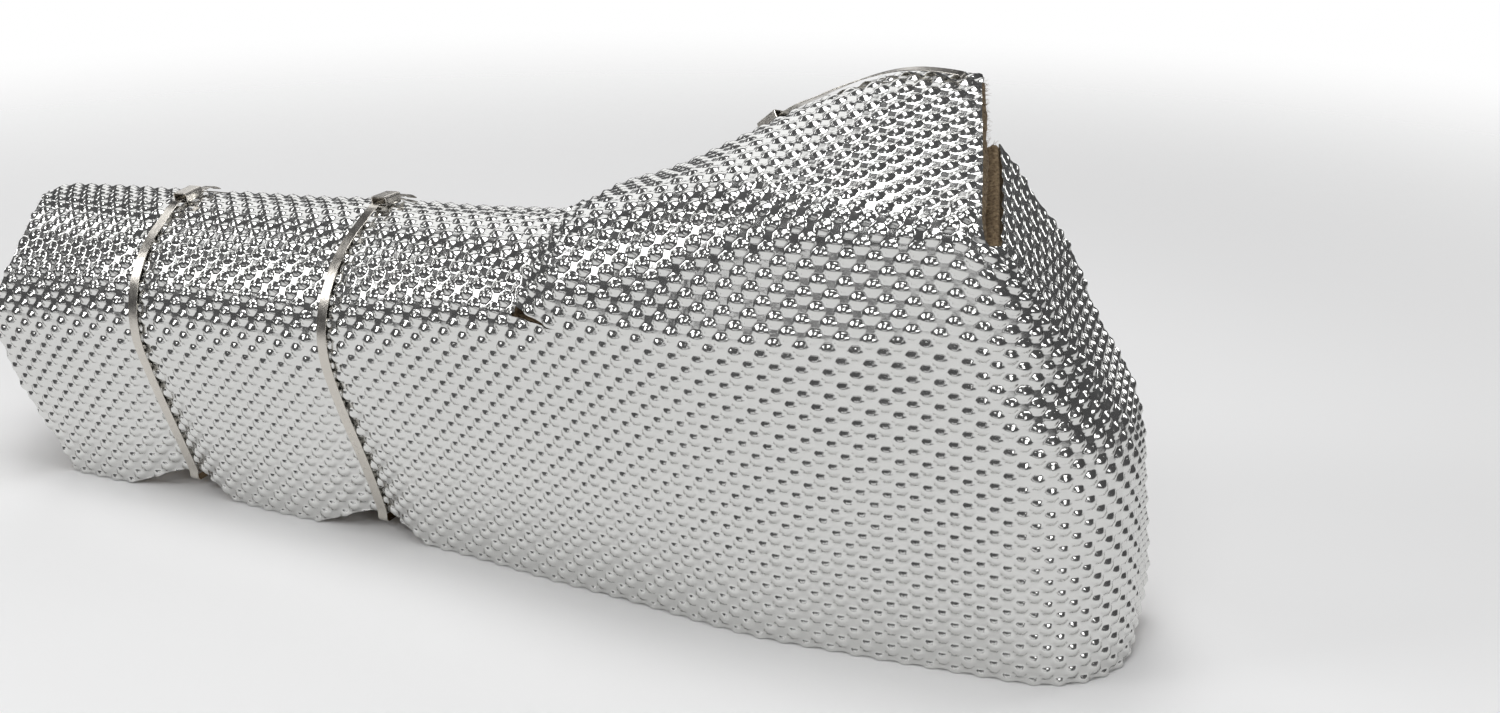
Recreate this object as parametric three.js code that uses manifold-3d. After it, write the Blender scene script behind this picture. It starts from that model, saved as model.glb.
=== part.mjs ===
// Heat and sound insulation mat: an embossed aluminium facing on a fibre core, cut as one sheet,
// folded over an exhaust log and its collector, and held by three ball-lock ties.
// Millimetres, +Z up, +X along the log from its closed left end to the collector.
import * as THREE from "three";
import { mergeVertices } from "three/addons/utils/BufferGeometryUtils.js";
import Module from "manifold-3d";

const wasm = await Module();
wasm.setup();

// Layers of the sheet, measured inwards from the flats of the facing
const FACING_THICKNESS = 0.6;
const CORE_THICKNESS = 5.8;
const LAYER_GAP = 0.65;
const DIMPLE_HEIGHT = 1.2;
const HEM_LIFT = 0.6;

// Grid of the coarse embossing: one dimple stands on every second grid point
const GRID_PITCH = 9.8;

// Log: a round tunnel whose axis climbs towards the collector
const LOG_RADIUS = 46;
const LOG_AXIS_Y = -12;
const LOG_AXIS_HEIGHT = 87.5;
const LOG_AXIS_STATION = -120;
const LOG_CLIMB = 0.072;
const LOG_BELLY_RISE = 8;
const LOG_BACK_LEAN = 4;
const LOG_TOP_ANGLES = [30, 104];
const WAIST_RADIUS = 24;

// Sheet edges along the log
const LEFT_EDGE = [[0, -312], [28, -322], [50, -330], [78, -331], [105, -325], [121, -327], [140, -335], [200, -336]];
const NOTCH_X = -62;
const NOTCH_OPENING = 5;
const SLIT_WIDTH = 1.2;

// Collector: the front wall leans out to a waist, goes up to a brow and slopes back to a crest
const COLLECTOR_RIGHT_X = 107;
const FRONT_END_X = 88;
const HEM_FRONT = [[-340, -49], [-290, -48], [-250, -43], [-200, -42], [-120, -40], [-62, -43], [25, -47], [60, -44], [88, -40], [112, -36]];
const WAIST_Y = [[-340, -62.5], [-120, -63], [-62, -66], [-20, -69.5], [10, -69], [60, -63], [88, -58], [112, -57]];
const WAIST_HEIGHT = [[-62, 114], [10, 118], [60, 122], [88, 128], [112, 134]];
const BROW_Y = [[-62, -55], [-42, -64], [0, -62], [60, -58], [88, -56], [112, -57]];
const BROW_HEIGHT = [[-62, 136], [-42, 150], [0, 163], [60, 163], [88, 164], [112, 172]];
const BROW_RADIUS = [[-62, 26], [-20, 44], [30, 32], [70, 18], [112, 11]];
const CREST_Y = [[-62, -14], [-42, -12], [0, -2], [60, 22], [112, 24]];
const CREST_HEIGHT = [[-62, 147], [-42, 155], [-20, 163], [0, 174], [30, 193], [60, 206], [112, 200]];
const CREST_RADIUS = 34;
const BACK_Y = [[-62, 38], [-42, 48], [0, 60], [60, 68], [112, 68]];
const BACK_SHOULDER_HEIGHT = [[-62, 118], [-42, 126], [0, 142], [60, 154], [112, 154]];
const BACK_SHOULDER_RADIUS = 28;
const BACK_HEM_Y = [[-62, 28], [-42, 44], [0, 55], [60, 60], [112, 60]];

// End panel: the front wall turns round the right end and leans in above a shoulder
const END_FOOT_X = 153;
const END_SHOULDER_X = 158;
const END_SHOULDER_HEIGHT = 88;
const END_SHOULDER_RADIUS = 45;
const END_LEAN = 37;
const END_BACK_Y = [[0, 30], [80, 26], [125, 17], [165, 9], [215, 5]];
const END_CURL = [[0, 4], [80, 12], [125, 8], [165, 0]];
const FRONT_TURN = 7;
const CORNER_RADIUS = [[0, 36], [60, 44], [100, 44], [132, 30], [168, 10], [215, 10]];
const SLIT_TIP = 165;
const SLIT_DRAW_IN = 25;
const SLIT_DRAW_LENGTH = 76;
const BACK_DRAW_IN = 30;
const BACK_DRAW_LENGTH = 50;
const PANEL_RISE = 0.8;
const PANEL_TOP_RUN = 44;
const END_CORNER_RISE = 22;
const END_CORNER_REACH = 42;

// Ties: flat steel bands with a folded box head and a locking ball
const TIE_WIDTH = 4.6;
const TIE_THICKNESS = 0.4;
const TIE_STANDOFF = 1.15;
const TIE_STATIONS = [-250, -151];
const HEAD_PLACES = [146, 160];
const TIE_TILT = 0.05;
const TIE_NOTCH_RISE = 7;
const TIE_NOTCH_REACH = 30;
const TIE_PINCH = 4.5;
const TIE_BED = 1.3;
const TIE_BED_REACH = 10;
const TIE_RUN_DROP = 2.4;
const TIE_STEP = 8;
const HEAD_LENGTH = 9.4;
const HEAD_WIDTH = 7.4;
const HEAD_WALL = 0.5;
const HEAD_STANDOFF = 1.25;
const HEAD_GAP = 0.35;
const HEAD_HALF_SEAT = 7;
const HEAD_RAMP = 12;
const BALL_DIAMETER = 1.2;
const TAIL_LENGTH = 9;
const TAIL_DROOP = 2;

// Collector tie: threaded through two slots of the mat and run along the crest
const STRAP_Y = [[-24, 27], [0, 11], [76, 12]];
const STRAP_ENDS = [-17, 75];
const STRAP_HEAD_X = 6;
const STRAP_STANDOFF = 2;
const STRAP_UNDERSIDE = 2.2;
const STRAP_TURN = 1.2;
const SLOT_LENGTH = 5.8;
const SLOT_WIDTH = 3.2;

const FOIL = { color: 0xc9ccd0, metalness: 0.9, roughness: 0.3 };
const FIBRE = { color: 0x8a6a45, metalness: 0, roughness: 0.95 };
const STEEL = { color: 0xb5b2aa, metalness: 1, roughness: 0.25 };

const DEGREE = Math.PI / 180;
const clamp01 = (t) => Math.min(1, Math.max(0, t));
const mix = (a, b, t) => a + (b - a) * t;
const smooth = (t) => clamp01(t) ** 2 * (3 - 2 * clamp01(t));

// Value at x of a curve given by a few [x, value] knots, eased between them
function along(knots, x) {
  const last = knots.length - 1;
  if (x <= knots[0][0]) return knots[0][1];
  if (x >= knots[last][0]) return knots[last][1];
  const k = knots.findIndex((knot) => knot[0] > x) - 1;
  const slope = (i) => {
    if (i <= 0 || i >= last) return 0;
    return (knots[i + 1][1] - knots[i - 1][1]) / (knots[i + 1][0] - knots[i - 1][0]);
  };
  const [x0, a] = knots[k];
  const [x1, b] = knots[k + 1];
  const span = x1 - x0;
  const t = (x - x0) / span;
  const t2 = t * t;
  const t3 = t2 * t;
  return (2 * t3 - 3 * t2 + 1) * a + (t3 - 2 * t2 + t) * slope(k) * span
    + (3 * t2 - 2 * t3) * b + (t3 - t2) * slope(k + 1) * span;
}

// A path through corners [p, q, radius], rounded at each corner and read by its arc length
function roundedPath(corners) {
  const pieces = [];
  const marks = [0];
  let at = new THREE.Vector2(corners[0][0], corners[0][1]);
  let length = 0;
  for (let k = 1; k < corners.length; k += 1) {
    const corner = new THREE.Vector2(corners[k][0], corners[k][1]);
    const inDir = corner.clone().sub(at).normalize();
    let cut = 0;
    let turn = 0;
    if (k < corners.length - 1) {
      const next = new THREE.Vector2(corners[k + 1][0], corners[k + 1][1]);
      const outDir = next.clone().sub(corner).normalize();
      turn = Math.atan2(inDir.cross(outDir), inDir.dot(outDir));
      const room = Math.min(corner.distanceTo(at), corner.distanceTo(next) * 0.6) * 0.96;
      cut = Math.min(corners[k][2] * Math.abs(Math.tan(turn / 2)), room);
    }
    const end = corner.clone().addScaledVector(inDir, -cut);
    const run = end.distanceTo(at);
    pieces.push({ start: length, run, from: at, dir: inDir, turn: 0 });
    length += run;
    if (cut > 0) {
      const radius = cut / Math.abs(Math.tan(turn / 2));
      const arc = radius * Math.abs(turn);
      pieces.push({ start: length, run: arc, from: end, dir: inDir, turn });
      marks.push(length + arc / 2);
      length += arc;
      at = corner.clone().addScaledVector(inDir.clone().rotateAround(new THREE.Vector2(), turn), cut);
    } else {
      marks.push(length);
      at = corner;
    }
  }
  function point(s) {
    let piece = pieces[0];
    for (const candidate of pieces) if (s >= candidate.start) piece = candidate;
    const d = s - piece.start;
    if (piece.turn === 0 || d > piece.run) {
      const bend = piece.turn;
      const base = piece.turn === 0 ? piece.from : point(piece.start + piece.run);
      const dir = piece.dir.clone().rotateAround(new THREE.Vector2(), bend);
      return base.clone().addScaledVector(dir, piece.turn === 0 ? d : d - piece.run);
    }
    const angle = (piece.turn * d) / piece.run;
    const radius = piece.run / Math.abs(piece.turn);
    const side = Math.sign(piece.turn);
    const normal = new THREE.Vector2(-piece.dir.y, piece.dir.x).multiplyScalar(side);
    const centre = piece.from.clone().addScaledVector(normal, radius);
    return piece.from.clone().rotateAround(centre, angle);
  }
  return { point, marks, length };
}

// Corner where two tangents of the log's circle meet, angles from the front horizontal upwards
function tangentCorner(centre, radius, from, to) {
  const mean = ((from + to) / 2) * DEGREE;
  const reach = radius / Math.cos(((to - from) / 2) * DEGREE);
  return [centre[0] - reach * Math.cos(mean), centre[1] + reach * Math.sin(mean)];
}

const profiles = new Map();

function cached(kind, x, build) {
  const key = `${kind} ${x.toFixed(3)}`;
  if (!profiles.has(key)) profiles.set(key, build());
  return profiles.get(key);
}

// Section of the log wrap at station x, from the front hem over the top to the back hem
function logProfile(x) {
  return cached("log", x, () => {
    const centre = [LOG_AXIS_Y, LOG_AXIS_HEIGHT + LOG_CLIMB * (x - LOG_AXIS_STATION)];
    const rightness = smooth((x - NOTCH_X + 110) / 110);
    const belly = centre[1] + LOG_BELLY_RISE;
    const waist = [
      along(WAIST_Y, x), mix(belly, along(WAIST_HEIGHT, x), rightness),
      mix(LOG_RADIUS, WAIST_RADIUS, rightness),
    ];
    const [front, back] = LOG_TOP_ANGLES;
    const top = tangentCorner(centre, LOG_RADIUS, front, back);
    const rear = tangentCorner(centre, LOG_RADIUS, back, 180 + LOG_BACK_LEAN);
    const heel = [rear[0] - rear[1] * Math.tan(LOG_BACK_LEAN * DEGREE), 0];
    return roundedPath([
      [along(HEM_FRONT, x), 0], waist, [...top, LOG_RADIUS], [...rear, LOG_RADIUS], heel,
    ]);
  });
}

// Section of the collector wrap at station x
function collectorProfile(x) {
  return cached("collector", x, () => roundedPath([
    [along(HEM_FRONT, x), 0],
    [along(WAIST_Y, x), along(WAIST_HEIGHT, x), WAIST_RADIUS],
    [along(BROW_Y, x), along(BROW_HEIGHT, x), along(BROW_RADIUS, x)],
    [along(CREST_Y, x), along(CREST_HEIGHT, x), CREST_RADIUS],
    [along(BACK_Y, x), along(BACK_SHOULDER_HEIGHT, x), BACK_SHOULDER_RADIUS],
    [along(BACK_HEM_Y, x), 0],
  ]));
}

const LEAN_SINE = Math.sin(END_LEAN * DEGREE);
const LEAN_COSINE = Math.cos(END_LEAN * DEGREE);
const LEAN_RUN = 200;
const endProfile = roundedPath([
  [END_FOOT_X, 0],
  [END_SHOULDER_X, END_SHOULDER_HEIGHT, END_SHOULDER_RADIUS],
  [END_SHOULDER_X - LEAN_RUN * LEAN_SINE, END_SHOULDER_HEIGHT + LEAN_RUN * LEAN_COSINE],
]);

// Plan of the front wall and the end panel at arc length v above the hem
function endPlan(v) {
  return cached("plan", v, () => {
    const start = collectorProfile(FRONT_END_X).point(Math.min(v, SLIT_TIP));
    const end = endProfile.point(v);
    const turn = Math.tan(FRONT_TURN * DEGREE);
    const corner = [end.x, start.x + (end.x - FRONT_END_X) * turn];
    const reach = along(END_BACK_Y, v) - corner[1];
    const curl = Math.tan(along(END_CURL, v) * DEGREE);
    const plan = roundedPath([
      [FRONT_END_X, start.x], [...corner, along(CORNER_RADIUS, v)],
      [corner[0] - curl * reach, corner[1] + reach],
    ]);
    return { plan, start, end, overrun: Math.max(0, v - SLIT_TIP) * LEAN_COSINE };
  });
}

// Front wall and end panel beyond the last straight station: u runs on round the corner
function endPoint(u, v) {
  const { plan, start, end, overrun } = endPlan(v);
  const s = u - FRONT_END_X;
  const spot = plan.point(s);
  const turned = smooth((s - plan.marks[1]) / (2 * along(CORNER_RADIUS, v) + 8) + 0.5);
  return new THREE.Vector3(spot.x, spot.y, mix(start.y + overrun, end.y, turned));
}

// Right edge of the end panel at arc length v
const panelEdge = (v) => FRONT_END_X + endPlan(v).plan.length;

// Hollow that the ties press into the mat: a bed under the band and a deeper pinch at the hem
function pinch(x, v) {
  let depth = 0;
  for (const station of TIE_STATIONS) {
    const d = x - tieStation(station, v);
    const bed = TIE_BED * (1 - smooth((Math.abs(d) - TIE_WIDTH / 2) / TIE_BED_REACH));
    const reach = d < 0 ? TIE_NOTCH_REACH : TIE_NOTCH_REACH * 0.7;
    const low = 1 - smooth(v / 80);
    depth += bed + TIE_PINCH * low * (1 - smooth((Math.abs(d) - TIE_WIDTH / 2) / reach));
  }
  return depth;
}

function tieStation(station, v) {
  return station - TIE_TILT * (Math.min(v, 100) - 50);
}

// Rise of the hem: notches at the ties, and the rounded corner of the end panel
function hemRise(u) {
  let rise = 0;
  for (const station of TIE_STATIONS) {
    const d = u - tieStation(station, 0);
    const reach = d < 0 ? TIE_NOTCH_REACH : TIE_NOTCH_REACH * 0.8;
    rise += TIE_NOTCH_RISE * (1 - smooth((Math.abs(d) - TIE_WIDTH) / reach));
  }
  const round = clamp01((u - panelEdge(0) + END_CORNER_REACH) / END_CORNER_REACH);
  return rise + END_CORNER_RISE * round ** 2;
}

// Surface of the flats of the facing, before thickness
const surfaces = {
  log(u, v) {
    const p = logProfile(u).point(v);
    return new THREE.Vector3(u, p.x, p.y);
  },
  collector(u, v) {
    const profile = collectorProfile(Math.min(u, COLLECTOR_RIGHT_X));
    const p = profile.point(v);
    if (u <= FRONT_END_X) return new THREE.Vector3(u, p.x, p.y);
    if (v <= SLIT_TIP) return endPoint(u, v);
    const seat = profile.point(SLIT_TIP);
    const base = endPoint(u, SLIT_TIP);
    return new THREE.Vector3(base.x, base.y + p.x - seat.x, base.z + p.y - seat.y);
  },
  end(u, v) {
    return u <= FRONT_END_X ? this.collector(u, v) : endPoint(u, v);
  },
};

// Point and outward normal of the flats, with the hollows under the ties
function surfacePoint(kind, u, v) {
  const step = 1.5;
  const du = surfaces[kind](u + step, v).sub(surfaces[kind](u - step, v));
  const dv = surfaces[kind](u, v + step).sub(surfaces[kind](u, Math.max(0, v - step)));
  const normal = new THREE.Vector3().crossVectors(du, dv).normalize();
  const point = surfaces[kind](u, v);
  if (kind === "log") {
    point.addScaledVector(normal, -pinch(u, v));
    normal.x += (pinch(u + step, v) - pinch(u - step, v)) / (2 * step);
    normal.normalize();
  }
  return { point, normal };
}

// Columns run along the sheet and rows across it; each zone above the waist has its own rows
const even = (length) => 2 * Math.max(1, Math.round(length / GRID_PITCH / 2));
const waistArc = collectorProfile(NOTCH_X).marks[1];
const leftmost = Math.min(...LEFT_EDGE.map((knot) => knot[1]));
const breaks = [leftmost, ...TIE_STATIONS, NOTCH_X];
const breakColumns = [0];
for (let k = 1; k < breaks.length; k += 1) {
  breakColumns.push(breakColumns[k - 1] + even(breaks[k] - breaks[k - 1]));
}
const tieColumns = breakColumns.slice(1, -1);
const notchColumn = breakColumns[breakColumns.length - 1];
const notchColumns = 2;
const slitColumn = notchColumn + even(COLLECTOR_RIGHT_X - NOTCH_X);
const lastColumn = slitColumn + even(panelEdge(0) - COLLECTOR_RIGHT_X);
const waistRow = even(waistArc);
const tipRow = waistRow + even(SLIT_TIP - waistArc);
const logRows = waistRow + even(logProfile(NOTCH_X).length - waistArc);
const flapRows = tipRow + even(collectorProfile(COLLECTOR_RIGHT_X / 2).length - SLIT_TIP);
const endRows = tipRow + even(PANEL_RISE * PANEL_TOP_RUN);

function waistLength(u) {
  if (u <= NOTCH_X) return waistArc;
  return collectorProfile(Math.min(u, FRONT_END_X)).marks[1];
}

// Station of a column left of the notch at arc length v
function logStation(i, v, slit) {
  const ends = [along(LEFT_EDGE, v), ...TIE_STATIONS.map((x) => tieStation(x, v)), NOTCH_X - slit];
  const k = Math.max(1, breakColumns.findIndex((column) => column >= i));
  const t = (i - breakColumns[k - 1]) / (breakColumns[k] - breakColumns[k - 1]);
  return mix(ends[k - 1], ends[k], t);
}

// Right edge of the flap, drawn in along the slit and further behind the crest
function flapEdge(v) {
  const past = v - SLIT_TIP;
  if (past <= 0) return COLLECTOR_RIGHT_X;
  const drawn = SLIT_DRAW_IN * clamp01(past / SLIT_DRAW_LENGTH);
  const behind = BACK_DRAW_IN * smooth((past - SLIT_DRAW_LENGTH) / BACK_DRAW_LENGTH);
  return COLLECTOR_RIGHT_X - SLIT_WIDTH - drawn - behind;
}

// Flat-sheet coordinates [u, v] of grid point (i, j) as its zone sees it
function sheetSpot(zone, i, j) {
  const t = j / waistRow;
  if (j <= waistRow) {
    let u = mix(NOTCH_X, COLLECTOR_RIGHT_X, (i - notchColumn) / (slitColumn - notchColumn));
    if (i <= notchColumn) u = logStation(i, t * waistArc, 0);
    if (i > slitColumn) {
      const v = t * waistLength(FRONT_END_X);
      u = mix(COLLECTOR_RIGHT_X, panelEdge(v), (i - slitColumn) / (lastColumn - slitColumn));
    }
    return [u, mix(hemRise(u), waistLength(u), t)];
  }
  if (zone === "log") {
    const up = (j - waistRow) / (logRows - waistRow);
    const v = waistArc + up * (logProfile(NOTCH_X).length - waistArc);
    const u = logStation(i, v, SLIT_WIDTH / 2);
    return [u, mix(waistArc, logProfile(u).length - hemRise(u), up)];
  }
  const low = (j - waistRow) / (tipRow - waistRow);
  if (zone === "collector") {
    const across = (i - notchColumn) / (slitColumn - notchColumn);
    const up = (j - tipRow) / (flapRows - tipRow);
    const v = j <= tipRow ? SLIT_TIP : mix(SLIT_TIP, collectorProfile(SLIT_TIP / 2).length, up);
    const u = mix(NOTCH_X + SLIT_WIDTH / 2, flapEdge(v), across);
    if (j <= tipRow) return [u, mix(waistLength(u), SLIT_TIP, low)];
    return [u, mix(SLIT_TIP, collectorProfile(Math.min(u, COLLECTOR_RIGHT_X)).length, up)];
  }
  const across = (i - slitColumn) / (lastColumn - slitColumn);
  const up = Math.max(0, (j - tipRow) / (endRows - tipRow));
  const row = j <= tipRow ? mix(waistLength(FRONT_END_X), SLIT_TIP, low) : SLIT_TIP + up * PANEL_RISE * PANEL_TOP_RUN;
  const u = mix(COLLECTOR_RIGHT_X, panelEdge(row), across);
  return j <= tipRow ? [u, row] : [u, SLIT_TIP + up * PANEL_RISE * (u - COLLECTOR_RIGHT_X)];
}

// Name of a grid point as a cell starting on the given row sees it: a slit keeps two names apart
function vertexName(zone, i, j, cellRow) {
  if (cellRow < waistRow || j < waistRow) return `sheet ${i} ${j}`;
  if (j === waistRow) {
    const freed = zone === "collector" && i < notchColumn + notchColumns;
    return freed ? `collector ${i} ${j}` : `sheet ${i} ${j}`;
  }
  if (zone === "end" && i === slitColumn) return `collector ${i} ${Math.min(j, tipRow)}`;
  return `${zone} ${i} ${j}`;
}

const vertices = new Map();

function vertexAt(zone, i, j, cellRow) {
  const name = vertexName(zone, i, j, cellRow);
  if (vertices.has(name)) return name;
  let kind = name.split(" ")[0];
  if (kind === "sheet") kind = i <= notchColumn ? "log" : i <= slitColumn ? "collector" : "end";
  const row = zone === "end" && i === slitColumn ? Math.min(j, tipRow) : j;
  let [u, v] = sheetSpot(kind, i, row);
  if (name.startsWith("collector") && i < notchColumn + notchColumns) {
    const openness = 1 - (i - notchColumn) / notchColumns;
    v += NOTCH_OPENING * openness * (1 - smooth((row - waistRow) / 4));
  }
  const underTie = kind === "log" && tieColumns.includes(i);
  const hem = row === 0 || (kind === "log" && row === logRows) || (kind === "collector" && row === flapRows);
  const raised = (i + row) % 2 === 0 && !underTie ? DIMPLE_HEIGHT : 0;
  vertices.set(name, { ...surfacePoint(kind, u, v), raised, hem, dip: 0 });
  return name;
}

const zones = [
  ["log", 0, notchColumn, logRows],
  ["collector", notchColumn, slitColumn, flapRows],
  ["end", slitColumn, lastColumn, endRows],
];

// Triangles of the sheet, with cells of the given number of grid steps
function sheetTriangles(step) {
  const triangles = [];
  for (const [zone, first, last, rows] of zones) {
    for (let i = first; i < last; i += step) {
      for (let j = 0; j < rows; j += step) {
        const a = vertexAt(zone, i, j, j);
        const b = vertexAt(zone, i + step, j, j);
        const c = vertexAt(zone, i + step, j + step, j);
        const d = vertexAt(zone, i, j + step, j);
        const lowDiagonal = step === 1 && (i + j) % 2 === 0;
        const faces = lowDiagonal ? [[a, b, d], [b, c, d]] : [[a, b, c], [a, c, d]];
        triangles.push(...faces.filter((face) => new Set(face).size === 3));
      }
    }
  }
  return triangles;
}

const fine = sheetTriangles(1);
const coarse = sheetTriangles(2);

// Where the sheet is hollow, the inner layers dip so that their long faces stay under the facing
for (const [zone, first, last, rows] of zones) {
  for (let i = first; i < last; i += 2) {
    for (let j = 0; j < rows; j += 2) {
      const at = (di, dj) => vertices.get(vertexAt(zone, i + di, j + dj, Math.min(j + dj, j + 1)));
      const spans = [
        [at(0, 0), at(2, 0), at(1, 0)], [at(2, 0), at(2, 2), at(2, 1)], [at(0, 2), at(2, 2), at(1, 2)],
        [at(0, 0), at(0, 2), at(0, 1)], [at(0, 0), at(2, 2), at(1, 1)],
      ];
      for (const [p, q, middle] of spans) {
        const chord = p.point.clone().add(q.point).multiplyScalar(0.5);
        const shortfall = chord.sub(middle.point).dot(middle.normal);
        p.dip = Math.max(p.dip, shortfall);
        q.dip = Math.max(q.dip, shortfall);
      }
    }
  }
}

// Edge-to-edge walk round the border of a triangle list
function borderSteps(triangles) {
  const steps = new Map();
  for (const face of triangles) for (let k = 0; k < 3; k += 1) steps.set(`${face[k]}>${face[(k + 1) % 3]}`, [face[k], face[(k + 1) % 3]]);
  return new Map([...steps.values()].filter(([a, b]) => !steps.has(`${b}>${a}`)));
}

// Position of a vertex at a depth below the flats; hems of every layer end level
function atDepth(name, depth, raised, lift) {
  const vertex = vertices.get(name);
  const down = depth > 0 ? depth + vertex.dip : 0;
  const spot = vertex.point.clone().addScaledVector(vertex.normal, (raised ? vertex.raised : 0) - down);
  if (vertex.hem) spot.z = vertex.point.z + lift;
  return spot;
}

// Closed solid between an outer and an inner skin that share their border points
function sheetSolid(outer, inner, outerAt, innerAt) {
  const spots = [];
  const numbers = new Map();
  const number = (side, name) => {
    const key = `${side} ${name}`;
    if (!numbers.has(key)) {
      numbers.set(key, spots.length);
      spots.push(side === "out" ? outerAt(name) : innerAt(name));
    }
    return numbers.get(key);
  };
  const faces = outer.map((face) => face.map((name) => number("out", name)));
  for (const [a, b, c] of inner) faces.push([number("in", a), number("in", c), number("in", b)]);
  const outerBorder = borderSteps(outer);
  for (const [a, b] of borderSteps(inner)) {
    let from = a;
    const [inA, inB] = [number("in", a), number("in", b)];
    const middle = outerBorder.get(a) === b ? null : outerBorder.get(a);
    if (middle !== null) {
      faces.push([number("out", middle), number("out", a), inA]);
      from = middle;
    }
    faces.push([number("out", from), inA, inB], [number("out", b), number("out", from), inB]);
  }
  const geometry = new THREE.BufferGeometry();
  geometry.setAttribute("position", new THREE.Float32BufferAttribute(spots.flatMap((p) => p.toArray()), 3));
  geometry.setIndex(faces.flat());
  return geometry;
}

function toManifold(geometry) {
  const plain = new THREE.BufferGeometry();
  plain.setAttribute("position", geometry.getAttribute("position"));
  plain.setIndex(geometry.index);
  const welded = mergeVertices(plain, 1e-4);
  return new wasm.Manifold(new wasm.Mesh({
    numProp: 3,
    vertProperties: new Float32Array(welded.getAttribute("position").array),
    triVerts: new Uint32Array(welded.index.array),
  }));
}

function fromManifold(solid) {
  const mesh = solid.getMesh();
  const geometry = new THREE.BufferGeometry();
  geometry.setAttribute("position", new THREE.Float32BufferAttribute(mesh.vertProperties, 3));
  geometry.setIndex([...mesh.triVerts]);
  return geometry;
}

// Flat strip along stations { p, n }: p on its underside, n outwards
function strip(stations, width, thickness) {
  const spots = [];
  const faces = [];
  stations.forEach(({ p, n }, k) => {
    const before = stations[Math.max(0, k - 1)].p;
    const after = stations[Math.min(stations.length - 1, k + 1)].p;
    const tangent = after.clone().sub(before).normalize();
    const side = new THREE.Vector3().crossVectors(tangent, n).normalize();
    const up = new THREE.Vector3().crossVectors(side, tangent);
    for (const [across, rise] of [[-0.5, 0], [0.5, 0], [0.5, 1], [-0.5, 1]]) {
      spots.push(p.clone().addScaledVector(side, across * width).addScaledVector(up, rise * thickness));
    }
  });
  for (let k = 0; k < stations.length - 1; k += 1) {
    for (let c = 0; c < 4; c += 1) {
      const [a, b] = [4 * k + c, 4 * k + ((c + 1) % 4)];
      faces.push([a, a + 4, b + 4], [a, b + 4, b]);
    }
  }
  const end = spots.length - 4;
  faces.push([0, 1, 2], [0, 2, 3], [end, end + 2, end + 1], [end, end + 3, end + 2]);
  const geometry = new THREE.BufferGeometry();
  geometry.setAttribute("position", new THREE.Float32BufferAttribute(spots.flatMap((p) => p.toArray()), 3));
  geometry.setIndex(faces.flat());
  return geometry;
}

// Heights above the flats of the parts stacked in a lock head
const lowerLayer = HEAD_STANDOFF + HEAD_WALL + HEAD_GAP;
const upperLayer = lowerLayer + TIE_THICKNESS + HEAD_GAP;
const ballSeat = upperLayer + TIE_THICKNESS + HEAD_GAP;
const headTop = ballSeat + BALL_DIAMETER + HEAD_GAP + HEAD_WALL;

// Folded box round both layers of the tie, open at its two ends, in the frame of its seat
function lockHead(seat) {
  const height = headTop - HEAD_STANDOFF;
  const outline = new THREE.Shape();
  const half = HEAD_WIDTH / 2;
  const bevel = HEAD_WALL * 0.8;
  outline.moveTo(-half + bevel, 0).lineTo(half - bevel, 0).lineTo(half, bevel);
  outline.lineTo(half, height - bevel).lineTo(half - bevel, height).lineTo(-half + bevel, height);
  outline.lineTo(-half, height - bevel).lineTo(-half, bevel).closePath();
  const hollow = new THREE.Path();
  const inner = half - HEAD_WALL;
  hollow.moveTo(-inner, HEAD_WALL).lineTo(-inner, height - HEAD_WALL);
  hollow.lineTo(inner, height - HEAD_WALL).lineTo(inner, HEAD_WALL).closePath();
  outline.holes.push(hollow);
  const geometry = new THREE.ExtrudeGeometry(outline, { depth: HEAD_LENGTH, bevelEnabled: false });
  geometry.translate(0, HEAD_STANDOFF, -HEAD_LENGTH / 2);
  geometry.applyMatrix4(seat);
  return mergeVertices(geometry.deleteAttribute("uv").deleteAttribute("normal"), 1e-4);
}

function lockBall(seat) {
  const geometry = new THREE.SphereGeometry(BALL_DIAMETER / 2, 12, 8);
  geometry.translate(0, ballSeat + BALL_DIAMETER / 2, 0);
  geometry.applyMatrix4(seat);
  return mergeVertices(geometry.deleteAttribute("uv").deleteAttribute("normal"), 1e-4);
}

// Both layers of a tie near its head: stations run straight along the seat's tangent
function seatFrame(point, normal, tangent) {
  const side = new THREE.Vector3().crossVectors(normal, tangent).normalize();
  const up = new THREE.Vector3().crossVectors(tangent, side).normalize();
  return new THREE.Matrix4().makeBasis(side, up, tangent).setPosition(point);
}

const ramp = (distance) => 1 - smooth((Math.abs(distance) - HEAD_HALF_SEAT) / HEAD_RAMP);

// Station of a tie at signed distance d from its head; base(d) gives the bare run without the head
function headStation(seat, base, d, layer, standoff) {
  const bare = base(d);
  if (Math.abs(d) <= HEAD_HALF_SEAT) {
    const n = new THREE.Vector3(0, 1, 0).transformDirection(seat);
    return { p: new THREE.Vector3(0, layer, d).applyMatrix4(seat), n };
  }
  const height = mix(standoff, layer + standoff - TIE_STANDOFF, ramp(d));
  return { p: bare.point.clone().addScaledVector(bare.normal, height), n: bare.normal };
}

// Tail of the tie beyond the head: stands off and droops
function tailStations(base, standoff) {
  const stations = [];
  for (const t of [0.25, 0.5, 0.75, 1]) {
    const { point, normal } = base(HEAD_HALF_SEAT + t * TAIL_LENGTH);
    const height = upperLayer + standoff - TIE_STANDOFF + TAIL_DROOP * Math.sin(Math.PI * t) / 2;
    stations.push({ p: point.clone().addScaledVector(normal, height), n: normal });
  }
  return stations;
}

const steps = (from, to, pitch) => {
  const count = Math.max(1, Math.ceil(Math.abs(to - from) / pitch));
  return Array.from({ length: count + 1 }, (_, k) => mix(from, to, k / count));
};

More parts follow.
